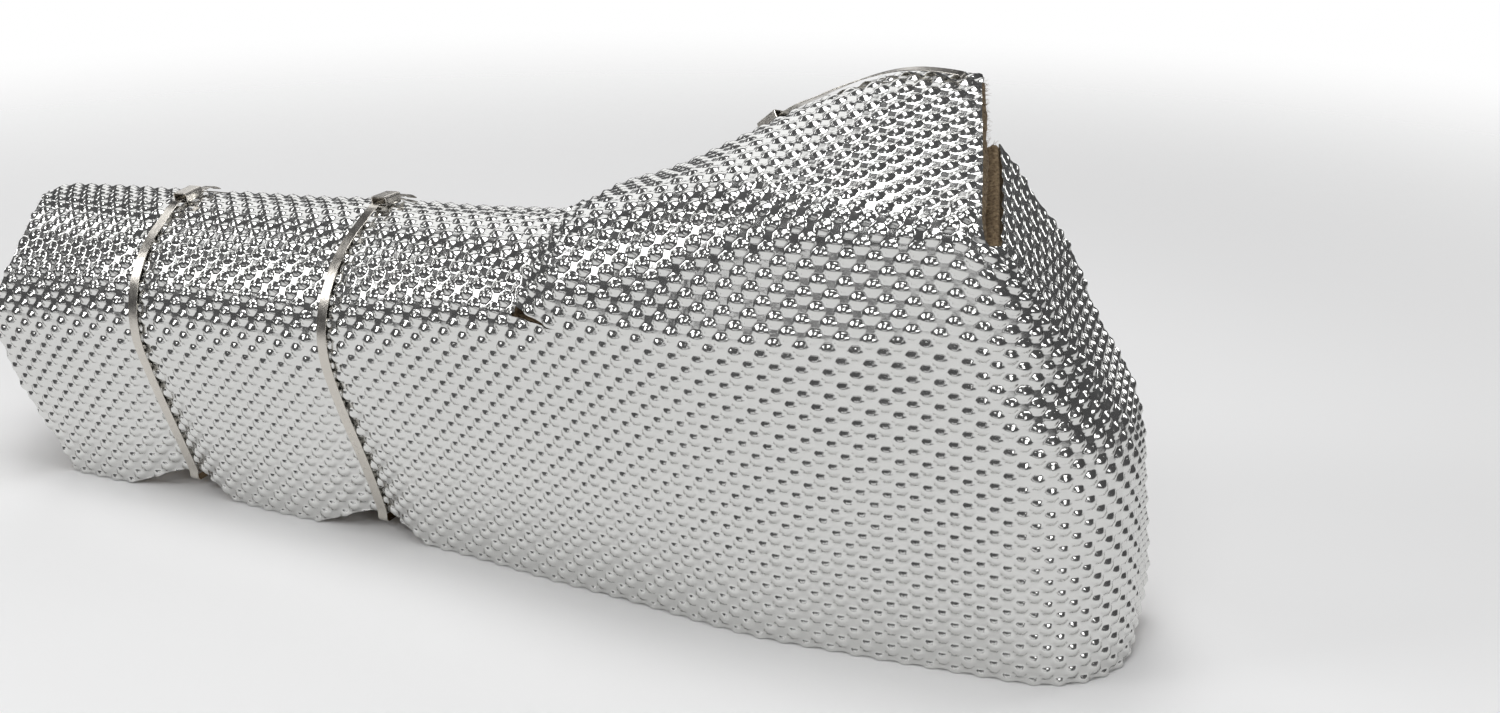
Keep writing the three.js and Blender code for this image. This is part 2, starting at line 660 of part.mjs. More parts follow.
// Tie round the log at a station
function logTie(station, k) {
  const headPlace = HEAD_PLACES[k];
  const onMat = (v) => surfacePoint("log", tieStation(station, v), v);
  const base = (d) => onMat(headPlace + d);
  const seatSpot = base(0);
  const tangent = base(1).point.sub(base(-1).point).normalize();
  const seat = seatFrame(seatSpot.point, seatSpot.normal, tangent);
  const length = logProfile(station).length;
  const rise = hemRise(tieStation(station, 0));
  const hemDistance = length - rise - headPlace - 1;
  const stations = [];
  for (const d of [-4, 0, HEAD_HALF_SEAT]) stations.push(headStation(seat, base, d, lowerLayer, TIE_STANDOFF));
  for (const d of steps(HEAD_HALF_SEAT + 4, hemDistance, TIE_STEP)) {
    stations.push(headStation(seat, base, d, lowerLayer, TIE_STANDOFF));
  }
  const back = stations[stations.length - 1].p.clone();
  const front = onMat(rise + 1);
  const frontSpot = front.point.clone().addScaledVector(front.normal, TIE_STANDOFF);
  const runHeight = rise - TIE_RUN_DROP;
  const down = new THREE.Vector3(0, 0, -1);
  const outward = new THREE.Vector3(0, 1, -1).normalize();
  const inward = new THREE.Vector3(0, -1, -1).normalize();
  const turn = TIE_RUN_DROP * 0.6;
  stations.push({ p: new THREE.Vector3(back.x, back.y, runHeight + turn), n: new THREE.Vector3(0, 1, -0.3) });
  stations.push({ p: new THREE.Vector3(back.x, back.y - turn, runHeight), n: outward.clone().add(down) });
  stations.push({ p: new THREE.Vector3(frontSpot.x, frontSpot.y + turn, runHeight), n: inward.clone().add(down) });
  stations.push({ p: new THREE.Vector3(frontSpot.x, frontSpot.y, runHeight + turn), n: new THREE.Vector3(0, -1, -0.3) });
  for (const d of steps(rise + 1 - headPlace, -HEAD_HALF_SEAT - 4, TIE_STEP)) {
    stations.push(headStation(seat, base, d, upperLayer, TIE_STANDOFF));
  }
  for (const d of [-HEAD_HALF_SEAT, HEAD_HALF_SEAT]) {
    stations.push(headStation(seat, base, d, upperLayer, TIE_STANDOFF));
  }
  stations.push(...tailStations(base, TIE_STANDOFF));
  return { band: strip(stations, TIE_WIDTH, TIE_THICKNESS), head: lockHead(seat), ball: lockBall(seat) };
}

// Arc length at which the collector's section at station x reaches depth y behind the brow
function crestArc(x, y) {
  const profile = collectorProfile(x);
  let [low, high] = [profile.marks[2], profile.marks[4]];
  for (let k = 0; k < 30; k += 1) {
    const middle = (low + high) / 2;
    if (profile.point(middle).x < y) low = middle;
    else high = middle;
  }
  return low;
}

// Tie along the crest of the collector, up through one slot and down through the other
function crestTie() {
  const onMat = (x) => surfacePoint("collector", x, crestArc(x, along(STRAP_Y, x)));
  const base = (d) => onMat(STRAP_HEAD_X - d);
  const seatSpot = base(0);
  seatSpot.point.addScaledVector(seatSpot.normal, STRAP_STANDOFF - TIE_STANDOFF);
  const tangent = base(1).point.sub(base(-1).point).normalize();
  const seat = seatFrame(seatSpot.point, seatSpot.normal, tangent);
  const [backX, frontX] = STRAP_ENDS;
  const underside = -(FACING_THICKNESS + LAYER_GAP + CORE_THICKNESS + STRAP_UNDERSIDE);
  const lifted = (x, height, direction) => {
    const { point, normal } = onMat(x);
    return { p: point.clone().addScaledVector(normal, height), n: normal.multiplyScalar(direction) };
  };
  const turned = (x, height, direction) => {
    const run = onMat(x + 1).point.sub(onMat(x - 1).point).normalize();
    return { p: lifted(x, height, 1).p, n: run.multiplyScalar(direction) };
  };
  const stations = [];
  for (const d of [-4, 0, HEAD_HALF_SEAT]) stations.push(headStation(seat, base, d, lowerLayer, STRAP_STANDOFF));
  const backRun = STRAP_HEAD_X - backX;
  for (const d of steps(HEAD_HALF_SEAT + 3, backRun - STRAP_TURN, TIE_STEP / 2)) {
    stations.push(headStation(seat, base, d, lowerLayer, STRAP_STANDOFF));
  }
  stations.push(turned(backX, STRAP_STANDOFF - STRAP_TURN, -1), turned(backX, underside + STRAP_TURN, -1));
  for (const x of steps(backX + STRAP_TURN, frontX - STRAP_TURN, TIE_STEP)) stations.push(lifted(x, underside, -1));
  stations.push(turned(frontX, underside + STRAP_TURN, 1), turned(frontX, STRAP_STANDOFF - STRAP_TURN, 1));
  for (const d of steps(STRAP_HEAD_X - frontX + STRAP_TURN, -HEAD_HALF_SEAT - 4, TIE_STEP)) {
    stations.push(headStation(seat, base, d, upperLayer, STRAP_STANDOFF));
  }
  for (const d of [-HEAD_HALF_SEAT, HEAD_HALF_SEAT]) {
    stations.push(headStation(seat, base, d, upperLayer, STRAP_STANDOFF));
  }
  stations.push(...tailStations(base, STRAP_STANDOFF));
  const slots = STRAP_ENDS.map((x) => {
    const { point, normal } = onMat(x);
    const run = onMat(x + 1).point.sub(onMat(x - 1).point).normalize();
    const cutter = new THREE.BoxGeometry(SLOT_LENGTH, -underside * 3, SLOT_WIDTH);
    return cutter.applyMatrix4(seatFrame(point, normal, run));
  });
  return { band: strip(stations, TIE_WIDTH, TIE_THICKNESS), head: lockHead(seat), ball: lockBall(seat), slots };
}

const facingDepth = FACING_THICKNESS;
const coreDepth = facingDepth + LAYER_GAP;
const facing = sheetSolid(
  fine, coarse, (name) => atDepth(name, 0, true, HEM_LIFT), (name) => atDepth(name, facingDepth, false, HEM_LIFT),
);
const core = sheetSolid(
  coarse, coarse, (name) => atDepth(name, coreDepth, false, 0),
  (name) => atDepth(name, coreDepth + CORE_THICKNESS, false, 0),
);
const crest = crestTie();
const slotted = (sheet) => {
  let solid = toManifold(sheet);
  for (const slot of crest.slots) solid = solid.subtract(toManifold(slot));
  return fromManifold(solid);
};

const group = new THREE.Group();
group.name = "heat_and_sound_insulation_mat";
function add(name, geometry, look) {
  const plain = geometry.index ? geometry.toNonIndexed() : geometry;
  plain.computeVertexNormals();
  const mesh = new THREE.Mesh(plain, new THREE.MeshStandardMaterial(look));
  mesh.name = name;
  group.add(mesh);
}
add("embossed_facing", slotted(facing), FOIL);
add("fibre_core", slotted(core), FIBRE);
[...TIE_STATIONS.map(logTie), crest].forEach((tie, k) => {
  add(`tie_${k + 1}_band`, tie.band, STEEL);
  add(`tie_${k + 1}_head`, tie.head, STEEL);
  add(`tie_${k + 1}_ball`, tie.ball, STEEL);
});

// Stands on the floor with its box centred on the origin
const box = new THREE.Box3().setFromObject(group);
const centre = box.getCenter(new THREE.Vector3());
group.position.set(-centre.x, -centre.y, -box.min.z);
group.updateMatrixWorld(true);

export default group;
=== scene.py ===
"""Finished look of the heat and sound insulation mat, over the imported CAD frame.

The mat is worked in its own axes in millimetres: +X along the log, -Y to the viewer, hem at Z 0.
Every piece is then set into the row frame, in metres, by lining its ties up with the CAD ties.
"""
import logging
import math
from collections.abc import Sequence
from dataclasses import dataclass, field
from enum import Enum

import bpy
import numpy as np
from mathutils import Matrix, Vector

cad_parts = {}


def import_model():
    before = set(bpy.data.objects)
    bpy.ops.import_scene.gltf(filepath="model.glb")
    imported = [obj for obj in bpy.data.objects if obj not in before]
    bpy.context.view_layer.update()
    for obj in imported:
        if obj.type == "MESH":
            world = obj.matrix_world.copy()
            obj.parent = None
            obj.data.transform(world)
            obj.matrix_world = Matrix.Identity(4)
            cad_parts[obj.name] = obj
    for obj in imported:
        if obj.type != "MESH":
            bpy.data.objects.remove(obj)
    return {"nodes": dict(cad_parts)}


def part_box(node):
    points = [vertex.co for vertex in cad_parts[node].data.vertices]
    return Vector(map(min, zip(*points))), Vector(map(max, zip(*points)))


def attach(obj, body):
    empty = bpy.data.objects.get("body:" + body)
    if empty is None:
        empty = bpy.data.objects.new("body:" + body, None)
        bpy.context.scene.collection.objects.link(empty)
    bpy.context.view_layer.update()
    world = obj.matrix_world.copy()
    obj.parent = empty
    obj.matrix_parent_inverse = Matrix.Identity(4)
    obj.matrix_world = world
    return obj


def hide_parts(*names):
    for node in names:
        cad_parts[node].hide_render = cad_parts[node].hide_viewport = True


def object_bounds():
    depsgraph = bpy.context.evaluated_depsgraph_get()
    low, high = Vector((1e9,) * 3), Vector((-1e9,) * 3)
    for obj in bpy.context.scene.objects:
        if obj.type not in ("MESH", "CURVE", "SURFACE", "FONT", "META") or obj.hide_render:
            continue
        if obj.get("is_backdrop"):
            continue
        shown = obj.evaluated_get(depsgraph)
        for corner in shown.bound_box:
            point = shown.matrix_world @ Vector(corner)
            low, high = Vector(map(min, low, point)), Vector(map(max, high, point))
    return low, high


LOG = logging.getLogger("insulation_mat")
Array = np.ndarray
Faces = list[tuple[int, ...]]
Knots = tuple[tuple[float, float], ...]
MILLIMETRE = 0.001
TINY = 1e-9
HALVINGS = 30


class Zone(Enum):
    """Parts of the sheet, each with its own section."""

    LOG = "log"
    LOWER = "lower"
    FLAP = "flap"
    END = "end"


@dataclass(frozen=True)
class LogSizes:
    """Round tunnel over the exhaust log."""

    radius: float = 46.0
    axis_y: float = -12.0
    axis_height: float = 87.5
    axis_station: float = -120.0
    climb: float = 0.072
    belly_rise: float = 8.0
    back_lean: float = 4.0
    top_angles: tuple[float, float] = (30.0, 104.0)
    waist_radius: float = 24.0
    left_edge: Knots = (
        (0, -312), (28, -322), (50, -330), (78, -331), (105, -325), (121, -327), (140, -335), (200, -336),
    )
    notch_x: float = -62.0
    notch_length: float = 19.6
    notch_opening: float = 5.0
    notch_fade: float = 39.0
    blend: float = 110.0


@dataclass(frozen=True)
class CollectorSizes:
    """Front wall, flap and back wall over the collector."""

    right_x: float = 107.0
    front_end: float = 88.0
    hem: Knots = (
        (-340, -49), (-290, -48), (-250, -43), (-200, -42), (-120, -40),
        (-62, -43), (25, -47), (60, -44), (88, -40), (112, -36),
    )
    waist_y: Knots = (
        (-340, -62.5), (-120, -63), (-62, -66), (-20, -69.5), (10, -69), (60, -63), (88, -58), (112, -57),
    )
    waist_height: Knots = ((-62, 114), (10, 118), (60, 122), (88, 128), (112, 134))
    brow_y: Knots = ((-62, -55), (-42, -64), (0, -62), (60, -58), (88, -56), (112, -57))
    brow_height: Knots = ((-62, 136), (-42, 150), (0, 163), (60, 163), (88, 164), (112, 172))
    brow_radius: Knots = ((-62, 26), (-20, 44), (30, 32), (70, 18), (112, 11))
    crest_y: Knots = ((-62, -14), (-42, -12), (0, -2), (60, 22), (112, 24))
    crest_height: Knots = ((-62, 147), (-42, 155), (-20, 163), (0, 174), (30, 193), (60, 206), (112, 200))
    crest_radius: float = 34.0
    back_y: Knots = ((-62, 38), (-42, 48), (0, 60), (60, 68), (112, 68))
    back_height: Knots = ((-62, 118), (-42, 126), (0, 142), (60, 154), (112, 154))
    back_radius: float = 28.0
    back_hem: Knots = ((-62, 28), (-42, 44), (0, 55), (60, 60), (112, 60))


@dataclass(frozen=True)
class EndSizes:
    """Panel that turns round the right end, and the slit above it."""

    foot_x: float = 153.0
    shoulder_x: float = 158.0
    shoulder_height: float = 88.0
    shoulder_radius: float = 45.0
    lean: float = 37.0
    lean_run: float = 200.0
    back_y: Knots = ((0, 30), (80, 26), (125, 17), (165, 9), (215, 5))
    curl: Knots = ((0, 4), (80, 12), (125, 8), (165, 0))
    front_turn: float = 7.0
    turn_blend: float = 8.0
    corner_radius: Knots = ((0, 36), (60, 44), (100, 44), (132, 30), (168, 10), (215, 10))
    slit_tip: float = 165.0
    slit_width: float = 1.2
    draw_in: float = 25.0
    draw_length: float = 76.0
    back_draw_in: float = 30.0
    back_draw_length: float = 50.0
    panel_rise: float = 0.8
    corner_rise: float = 22.0
    corner_reach: float = 42.0


@dataclass(frozen=True)
class TieSizes:
    """Ball-lock ties and the hollows that they press into the mat."""

    width: float = 4.6
    thickness: float = 0.4
    standoff: float = 1.15
    stations: tuple[float, float] = (-250.0, -151.0)
    head_places: tuple[float, float] = (146.0, 160.0)
    tilt: float = 0.05
    notch_rise: float = 7.0
    notch_reach: float = 30.0
    tilt_middle: float = 50.0
    tilt_knee: float = 100.0
    pinch: float = 4.5
    pinch_height: float = 80.0
    pinch_right: float = 0.7
    notch_right: float = 0.8
    bed: float = 1.3
    bed_reach: float = 10.0
    run_drop: float = 2.4
    step: float = 1.5
    head_length: float = 9.4
    head_width: float = 7.4
    head_wall: float = 0.5
    head_standoff: float = 1.25
    head_gap: float = 0.35
    head_round: float = 1.0
    head_inner_round: float = 0.5
    head_soft: float = 0.3
    lead: float = 4.0
    seat_gap: float = 2.0
    hem_gap: float = 1.0
    turn_share: float = 0.6
    half_seat: float = 7.0
    ramp: float = 12.0
    ball: float = 1.2
    ball_rows: int = 12
    ball_columns: int = 18
    tail_root: float = 0.15
    tail_steps: int = 7
    tail_length: float = 9.0
    tail_droop: float = 2.0
    strap_y: Knots = ((-24, 27), (0, 11), (76, 12))
    strap_ends: tuple[float, float] = (-17.0, 75.0)
    strap_head_x: float = 6.0
    strap_standoff: float = 2.0
    strap_underside: float = 2.2
    strap_turn: float = 1.2


@dataclass(frozen=True)
class Waviness:
    """Slight hand-formed waves of the sheet: a broad product of two waves and a finer one."""

    amplitude: float = 0.35
    fine_share: float = 0.6
    broad: tuple[float, float] = (23.0, 31.0)
    cross: tuple[float, float, float] = (27.0, 53.0, 1.3)
    fine: tuple[float, float, float] = (11.3, 17.1, 0.4)

    def height(self, u: Array, v: Array) -> Array:
        """Height of the waves.

        Args:
            u: Flat stations along the sheet.
            v: Flat stations across the sheet.

        Returns:
            Height outwards at each place.
        """
        broad = np.sin(u / self.broad[0] + v / self.broad[1])
        cross = np.sin(v / self.cross[0] - u / self.cross[1] + self.cross[2])
        fine = np.sin(u / self.fine[0] - v / self.fine[1] + self.fine[2])
        return self.amplitude * (broad * cross + self.fine_share * fine)


@dataclass(frozen=True)
class SheetSizes:
    """Layers of the sheet and its embossing."""

    half_pitch: float = 4.49
    dome_radius: float = 2.8
    dome_height: float = 1.2
    dome_edge: float = 0.2
    foil: float = 0.6
    core_depth: float = 1.25
    core: float = 5.8
    foil_steps: int = 4
    core_step: float = 3.0
    core_layers: int = 5
    hem_fade: float = 1.6
    roughness: float = 0.22
    bulge: float = 1.5
    seed: int = 7


def smooth(t: Array) -> Array:
    """Eases t from 0 to 1.

    Args:
        t: Any values.

    Returns:
        The eased values, held at 0 and 1 outside that range.
    """
    t = np.clip(t, 0, 1)
    return t * t * (3 - 2 * t)


def mix(a: Array, b: Array, t: Array) -> Array:
    """Goes from a to b.

    Args:
        a: Value at t 0.
        b: Value at t 1.
        t: Share of the way.

    Returns:
        The value between them.
    """
    return a + (b - a) * t


def along(knots: Knots, x: Array) -> Array:
    """Reads an eased curve.

    Args:
        knots: Pairs of station and value.
        x: Stations to read at.

    Returns:
        The curve's value at each station.
    """
    xs, ys = np.array(knots, float).T
    slopes = np.zeros(len(xs))
    slopes[1:-1] = (ys[2:] - ys[:-2]) / (xs[2:] - xs[:-2])
    k = np.clip(np.searchsorted(xs, x, side="right") - 1, 0, len(xs) - 2)
    span = xs[k + 1] - xs[k]
    t = np.clip((x - xs[k]) / span, 0, 1)
    square, cube = t * t, t * t * t
    rise = (2 * cube - 3 * square + 1) * ys[k] + (3 * square - 2 * cube) * ys[k + 1]
    return rise + span * ((cube - 2 * square + t) * slopes[k] + (cube - square) * slopes[k + 1])


class RoundedPaths:
    """Many polylines with rounded corners, each read by arc length."""

    RUN_AFTER = 0.6
    RUN_USED = 0.96

    def __init__(self, corners: list[tuple[Array, Array]], radii: list[Array]) -> None:
        """Lays the paths out.

        Args:
            corners: First and second coordinate of each corner, one array entry a path.
            radii: Radius at each corner between the first and the last.
        """
        points = [np.stack(np.broadcast_arrays(*corner), axis=-1).astype(float) for corner in corners]
        points = list(np.broadcast_arrays(*points))
        at = points[0]
        length = np.zeros(at.shape[:-1])
        self.pieces = []
        self.marks = []
        for k in range(1, len(points)):
            corner = points[k]
            heading = corner - at
            reach = np.linalg.norm(heading, axis=-1)
            heading = heading / reach[..., None]
            turn = np.zeros_like(reach)
            cut = np.zeros_like(reach)
            if k < len(points) - 1:
                after = points[k + 1] - corner
                room_after = np.linalg.norm(after, axis=-1)
                after = after / room_after[..., None]
                cross = heading[..., 0] * after[..., 1] - heading[..., 1] * after[..., 0]
                turn = np.arctan2(cross, (heading * after).sum(-1))
                room = np.minimum(reach, room_after * self.RUN_AFTER) * self.RUN_USED
                cut = np.minimum(radii[k - 1] * np.abs(np.tan(turn / 2)), room)
            end = corner - heading * cut[..., None]
            run = reach - cut
            self.pieces.append((length, run, at, heading, None))
            length = length + run
            if k < len(points) - 1:
                radius = cut / np.maximum(np.abs(np.tan(turn / 2)), TINY)
                arc = radius * np.abs(turn)
                self.pieces.append((length, arc, end, heading, turn))
                self.marks.append(length + arc / 2)
                length = length + arc
                at = corner + self._turned(heading, turn) * cut[..., None]
            else:
                self.marks.append(length)
        self.length = length

    @staticmethod
    def _turned(heading: Array, angle: Array) -> Array:
        cos, sin = np.cos(angle), np.sin(angle)
        x, y = heading[..., 0], heading[..., 1]
        return np.stack([x * cos - y * sin, x * sin + y * cos], axis=-1)

    def at(self, s: Array) -> Array:
        """Reads each path at its own arc length.

        Args:
            s: Arc lengths, also beyond the ends.

        Returns:
            Points, with the two coordinates last.
        """
        _, _, origin, heading, _ = self.pieces[0]
        spot = origin + heading * s[..., None]
        for start, run, origin, heading, turn in self.pieces[1:]:
            d = s - start
            if turn is None:
                place = origin + heading * d[..., None]
            else:
                share = d / np.maximum(run, TINY)
                angle = turn * share
                radius = run / np.maximum(np.abs(turn), TINY)
                side = np.sign(turn)
                normal = np.stack([-heading[..., 1], heading[..., 0]], axis=-1) * side[..., None]
                sweep = heading * np.sin(np.abs(angle))[..., None] + normal * (1 - np.cos(angle))[..., None]
                place = origin + sweep * radius[..., None]
            spot = np.where((d >= 0)[..., None], place, spot)
        return spot


def tilted(normal: Array, du: Array, dv: Array, rise_u: Array, rise_v: Array) -> Array:
    """Turns normals for a height over the surface.

    Args:
        normal: Unit normals of the surface.
        du: Change of place per unit of u.
        dv: Change of place per unit of v.
        rise_u: Change of height per unit of u.
        rise_v: Change of height per unit of v.

    Returns:
        Unit normals of the raised surface.
    """
    uu, uv, vv = (du * du).sum(-1), (du * dv).sum(-1), (dv * dv).sum(-1)
    room = np.maximum(uu * vv - uv * uv, 1e-6)
    share_u = (vv * rise_u - uv * rise_v) / room
    share_v = (uu * rise_v - uv * rise_u) / room
    turned = normal - du * share_u[..., None] - dv * share_v[..., None]
    return turned / np.linalg.norm(turned, axis=-1, keepdims=True)


@dataclass
class MatForm:
    """The folded sheet: maps flat coordinates (u, v) to points on the flats of its facing."""

    log: LogSizes = field(default_factory=LogSizes)
    collector: CollectorSizes = field(default_factory=CollectorSizes)
    end: EndSizes = field(default_factory=EndSizes)
    tie: TieSizes = field(default_factory=TieSizes)
    wave: Waviness = field(default_factory=Waviness)
    slope_step: float = 0.8

    def log_paths(self, x: Array) -> RoundedPaths:
        """Sections of the log wrap.

        Args:
            x: Stations along the log.

        Returns:
            One path of (Y, Z) a station, from the front hem to the back hem.
        """
        sizes = self.log
        centre = sizes.axis_height + sizes.climb * (x - sizes.axis_station)
        rightness = smooth((x - sizes.notch_x + sizes.blend) / sizes.blend)
        waist_height = mix(centre + sizes.belly_rise, along(self.collector.waist_height, x), rightness)
        front, back = (math.radians(angle) for angle in sizes.top_angles)
        lean = math.radians(sizes.back_lean)

        def tangent_corner(start: float, stop: float) -> tuple[Array, Array]:
            reach = sizes.radius / math.cos((stop - start) / 2)
            mean = (start + stop) / 2
            return sizes.axis_y - reach * math.cos(mean), centre + reach * math.sin(mean)

        top = tangent_corner(front, back)
        rear = tangent_corner(back, math.pi + lean)
        heel = (rear[0] - rear[1] * math.tan(lean), np.zeros_like(x))
        corners = [
            (along(self.collector.hem, x), np.zeros_like(x)),
            (along(self.collector.waist_y, x), waist_height), top, rear, heel,
        ]
        waist_radius = mix(sizes.radius, sizes.waist_radius, rightness)
        return RoundedPaths(corners, [waist_radius, sizes.radius, sizes.radius])

    def collector_paths(self, x: Array) -> RoundedPaths:
        """Sections of the collector wrap.

        Args:
            x: Stations along the mat.

        Returns:
            One path of (Y, Z) a station, from the front hem to the back hem.
        """
        c = self.collector
        zero = np.zeros_like(x)
        corners = [
            (along(c.hem, x), zero),
            (along(c.waist_y, x), along(c.waist_height, x)),
            (along(c.brow_y, x), along(c.brow_height, x)),
            (along(c.crest_y, x), along(c.crest_height, x)),
            (along(c.back_y, x), along(c.back_height, x)),
            (along(c.back_hem, x), zero),
        ]
        radii = [self.log.waist_radius, along(c.brow_radius, x), c.crest_radius, c.back_radius]
        return RoundedPaths(corners, radii)

    def end_rise(self, v: Array) -> Array:
        """Section of the end panel.

        Args:
            v: Arc lengths above the hem.

        Returns:
            Points (X, Z) of the panel's outer corner line.
        """
        e = self.end
        lean = math.radians(e.lean)
        one = np.ones_like(v)
        corners = [
            (e.foot_x * one, 0 * one),
            (e.shoulder_x * one, e.shoulder_height * one),
            (
                (e.shoulder_x - e.lean_run * math.sin(lean)) * one,
                (e.shoulder_height + e.lean_run * math.cos(lean)) * one,
            ),
        ]
        return RoundedPaths(corners, [e.shoulder_radius]).at(v)

    def end_plan(self, v: Array) -> tuple[RoundedPaths, Array, Array]:
        """Plan of the front wall and end panel.

        Args:
            v: Arc lengths above the hem.

        Returns:
            The paths of (X, Y), the front wall's points (Y, Z) and the corner's points (X, Z).
        """
        c, e = self.collector, self.end
        start = self.collector_paths(np.full_like(v, c.front_end)).at(np.minimum(v, e.slit_tip))
        end = self.end_rise(v)
        corner_y = start[..., 0] + (end[..., 0] - c.front_end) * math.tan(math.radians(e.front_turn))
        reach = along(e.back_y, v) - corner_y
        curl = np.tan(np.radians(along(e.curl, v)))
        corners = [
            (np.full_like(v, c.front_end), start[..., 0]), (end[..., 0], corner_y),
            (end[..., 0] - curl * reach, corner_y + reach),
        ]
        return RoundedPaths(corners, [along(e.corner_radius, v)]), start, end

    def panel_edge(self, v: Array) -> Array:
        """Flat station of the end panel's back edge.

        Args:
            v: Arc lengths above the hem.

        Returns:
            The edge's u at each v.
        """
        return self.collector.front_end + self.end_plan(v)[0].length

    def _end_point(self, u: Array, v: Array) -> Array:
        c, e = self.collector, self.end
        plan, start, end = self.end_plan(v)
        s = u - c.front_end
        spot = plan.at(s)
        turned = smooth((s - plan.marks[0]) / (2 * along(e.corner_radius, v) + e.turn_blend) + 0.5)
        overrun = np.maximum(0, v - e.slit_tip) * math.cos(math.radians(e.lean))
        height = mix(start[..., 1] + overrun, end[..., 1], turned)
        return np.stack([spot[..., 0], spot[..., 1], height], axis=-1)

    def _log_point(self, u: Array, v: Array) -> Array:
        spot = self.log_paths(u).at(v)
        return np.stack([u, spot[..., 0], spot[..., 1]], axis=-1)

    def _collector_point(self, u: Array, v: Array) -> Array:
        c, e = self.collector, self.end
        paths = self.collector_paths(np.minimum(u, c.right_x))
        spot = paths.at(v)
        plain = np.stack([u, spot[..., 0], spot[..., 1]], axis=-1)
        seat = paths.at(np.full_like(v, e.slit_tip))
        low = self._end_point(u, np.minimum(v, e.slit_tip))
        raised = low.copy()
        raised[..., 1] += spot[..., 0] - seat[..., 0]
        raised[..., 2] += spot[..., 1] - seat[..., 1]
        turned = np.where((v > e.slit_tip)[..., None], raised, low)
        return np.where((u > c.front_end)[..., None], turned, plain)

    def flat_point(self, zone: Zone, u: Array, v: Array) -> Array:
        """Place of the sheet's flats, before the ties press it.

        Args:
            zone: Part of the sheet.
            u: Flat stations along the sheet.
            v: Flat stations across the sheet.

        Returns:
            Points in the mat's axes, in millimetres.
        """
        if zone is Zone.LOG:
            return self._log_point(u, v)
        if zone is Zone.END:
            return self._end_point(u, v)
        if zone is Zone.FLAP:
            return self._collector_point(u, v)
        near = smooth((u - self.log.notch_x) / self.log.notch_length)[..., None]
        return mix(self._log_point(u, v), self._collector_point(u, v), near)

    def tie_station(self, station: float, v: Array) -> Array:
        """Where a tie crosses the sheet.

        Args:
            station: Nominal station of the tie.
            v: Flat stations across the sheet.

        Returns:
            The tie's u at each v.
        """
        return station - self.tie.tilt * (np.minimum(v, self.tie.tilt_knee) - self.tie.tilt_middle)

    def press(self, zone: Zone, u: Array, v: Array) -> Array:
        """Depth of the hollows pressed by the ties, less the sheet's own waviness.

        Args:
            zone: Part of the sheet.
            u: Flat stations along the sheet.
            v: Flat stations across the sheet.

        Returns:
            Depth inwards at each place.
        """
        t = self.tie
        depth = np.zeros_like(u)
        if zone in (Zone.LOG, Zone.LOWER):
            for station in t.stations:
                d = u - self.tie_station(station, v)
                depth += t.bed * (1 - smooth((np.abs(d) - t.width / 2) / t.bed_reach))
                reach = np.where(d < 0, t.notch_reach, t.notch_reach * t.pinch_right)
                low = 1 - smooth(v / t.pinch_height)
                depth += t.pinch * low * (1 - smooth((np.abs(d) - t.width / 2) / reach))
        return depth - self.wave.height(u, v)

    def hem_rise(self, u: Array) -> Array:
        """Height of the hem above the floor, along the sheet.

        Args:
            u: Flat stations along the sheet.

        Returns:
            The rise at each station.
        """
        t, e = self.tie, self.end
        rise = np.zeros_like(u)
        for station in t.stations:
            d = u - self.tie_station(station, np.zeros_like(u))
            reach = np.where(d < 0, t.notch_reach, t.notch_reach * t.notch_right)
            rise += t.notch_rise * (1 - smooth((np.abs(d) - t.width) / reach))
        corner = np.clip((u - self.panel_edge(np.zeros(1)) + e.corner_reach) / e.corner_reach, 0, 1)
        return rise + e.corner_rise * corner**2

    def point_and_normal(self, zone: Zone, u: Array, v: Array) -> tuple[Array, Array, Array, Array]:
        """Place and directions of the sheet's flats, hollows included.

        Args:
            zone: Part of the sheet.
            u: Flat stations along the sheet.
            v: Flat stations across the sheet.

        Returns:
            Points, outward normals, and change of place per unit of u and of v.
        """
        step = self.slope_step
        low = np.maximum(0, v - step)
        du = (self.flat_point(zone, u + step, v) - self.flat_point(zone, u - step, v)) / (2 * step)
        dv = self.flat_point(zone, u, v + step) - self.flat_point(zone, u, low)
        dv /= (v + step - low)[..., None]
        normal = np.cross(du, dv)
        normal /= np.linalg.norm(normal, axis=-1, keepdims=True)
        point = self.flat_point(zone, u, v) - normal * self.press(zone, u, v)[..., None]
        tilt_u = (self.press(zone, u + step, v) - self.press(zone, u - step, v)) / (2 * step)
        tilt_v = (self.press(zone, u, v + step) - self.press(zone, u, v - step)) / (2 * step)
        return point, tilted(normal, du, dv, -tilt_u, -tilt_v), du, dv

    def lattice(self, zone: Zone, u: Array, v: Array) -> tuple[Array, Array]:
        """Place of the embossing on the sheet: behind the crest it is counted from the back hem.

        Args:
            zone: Part of the sheet.
            u: Flat stations along the sheet.
            v: Flat stations across the sheet.

        Returns:
            The v to count the rows by, and its slope along u.
        """
        if zone is not Zone.FLAP:
            return v, np.zeros_like(u)
        inside = np.minimum(u, self.collector.right_x)
        paths = self.collector_paths(inside)
        ahead, behind = self.collector_paths(inside + 1), self.collector_paths(inside - 1)
        back = v > paths.marks[2]
        shift = paths.length - self.collector_paths(np.zeros_like(u)).length
        return np.where(back, v - shift, v), np.where(back, (behind.length - ahead.length) / 2, 0)


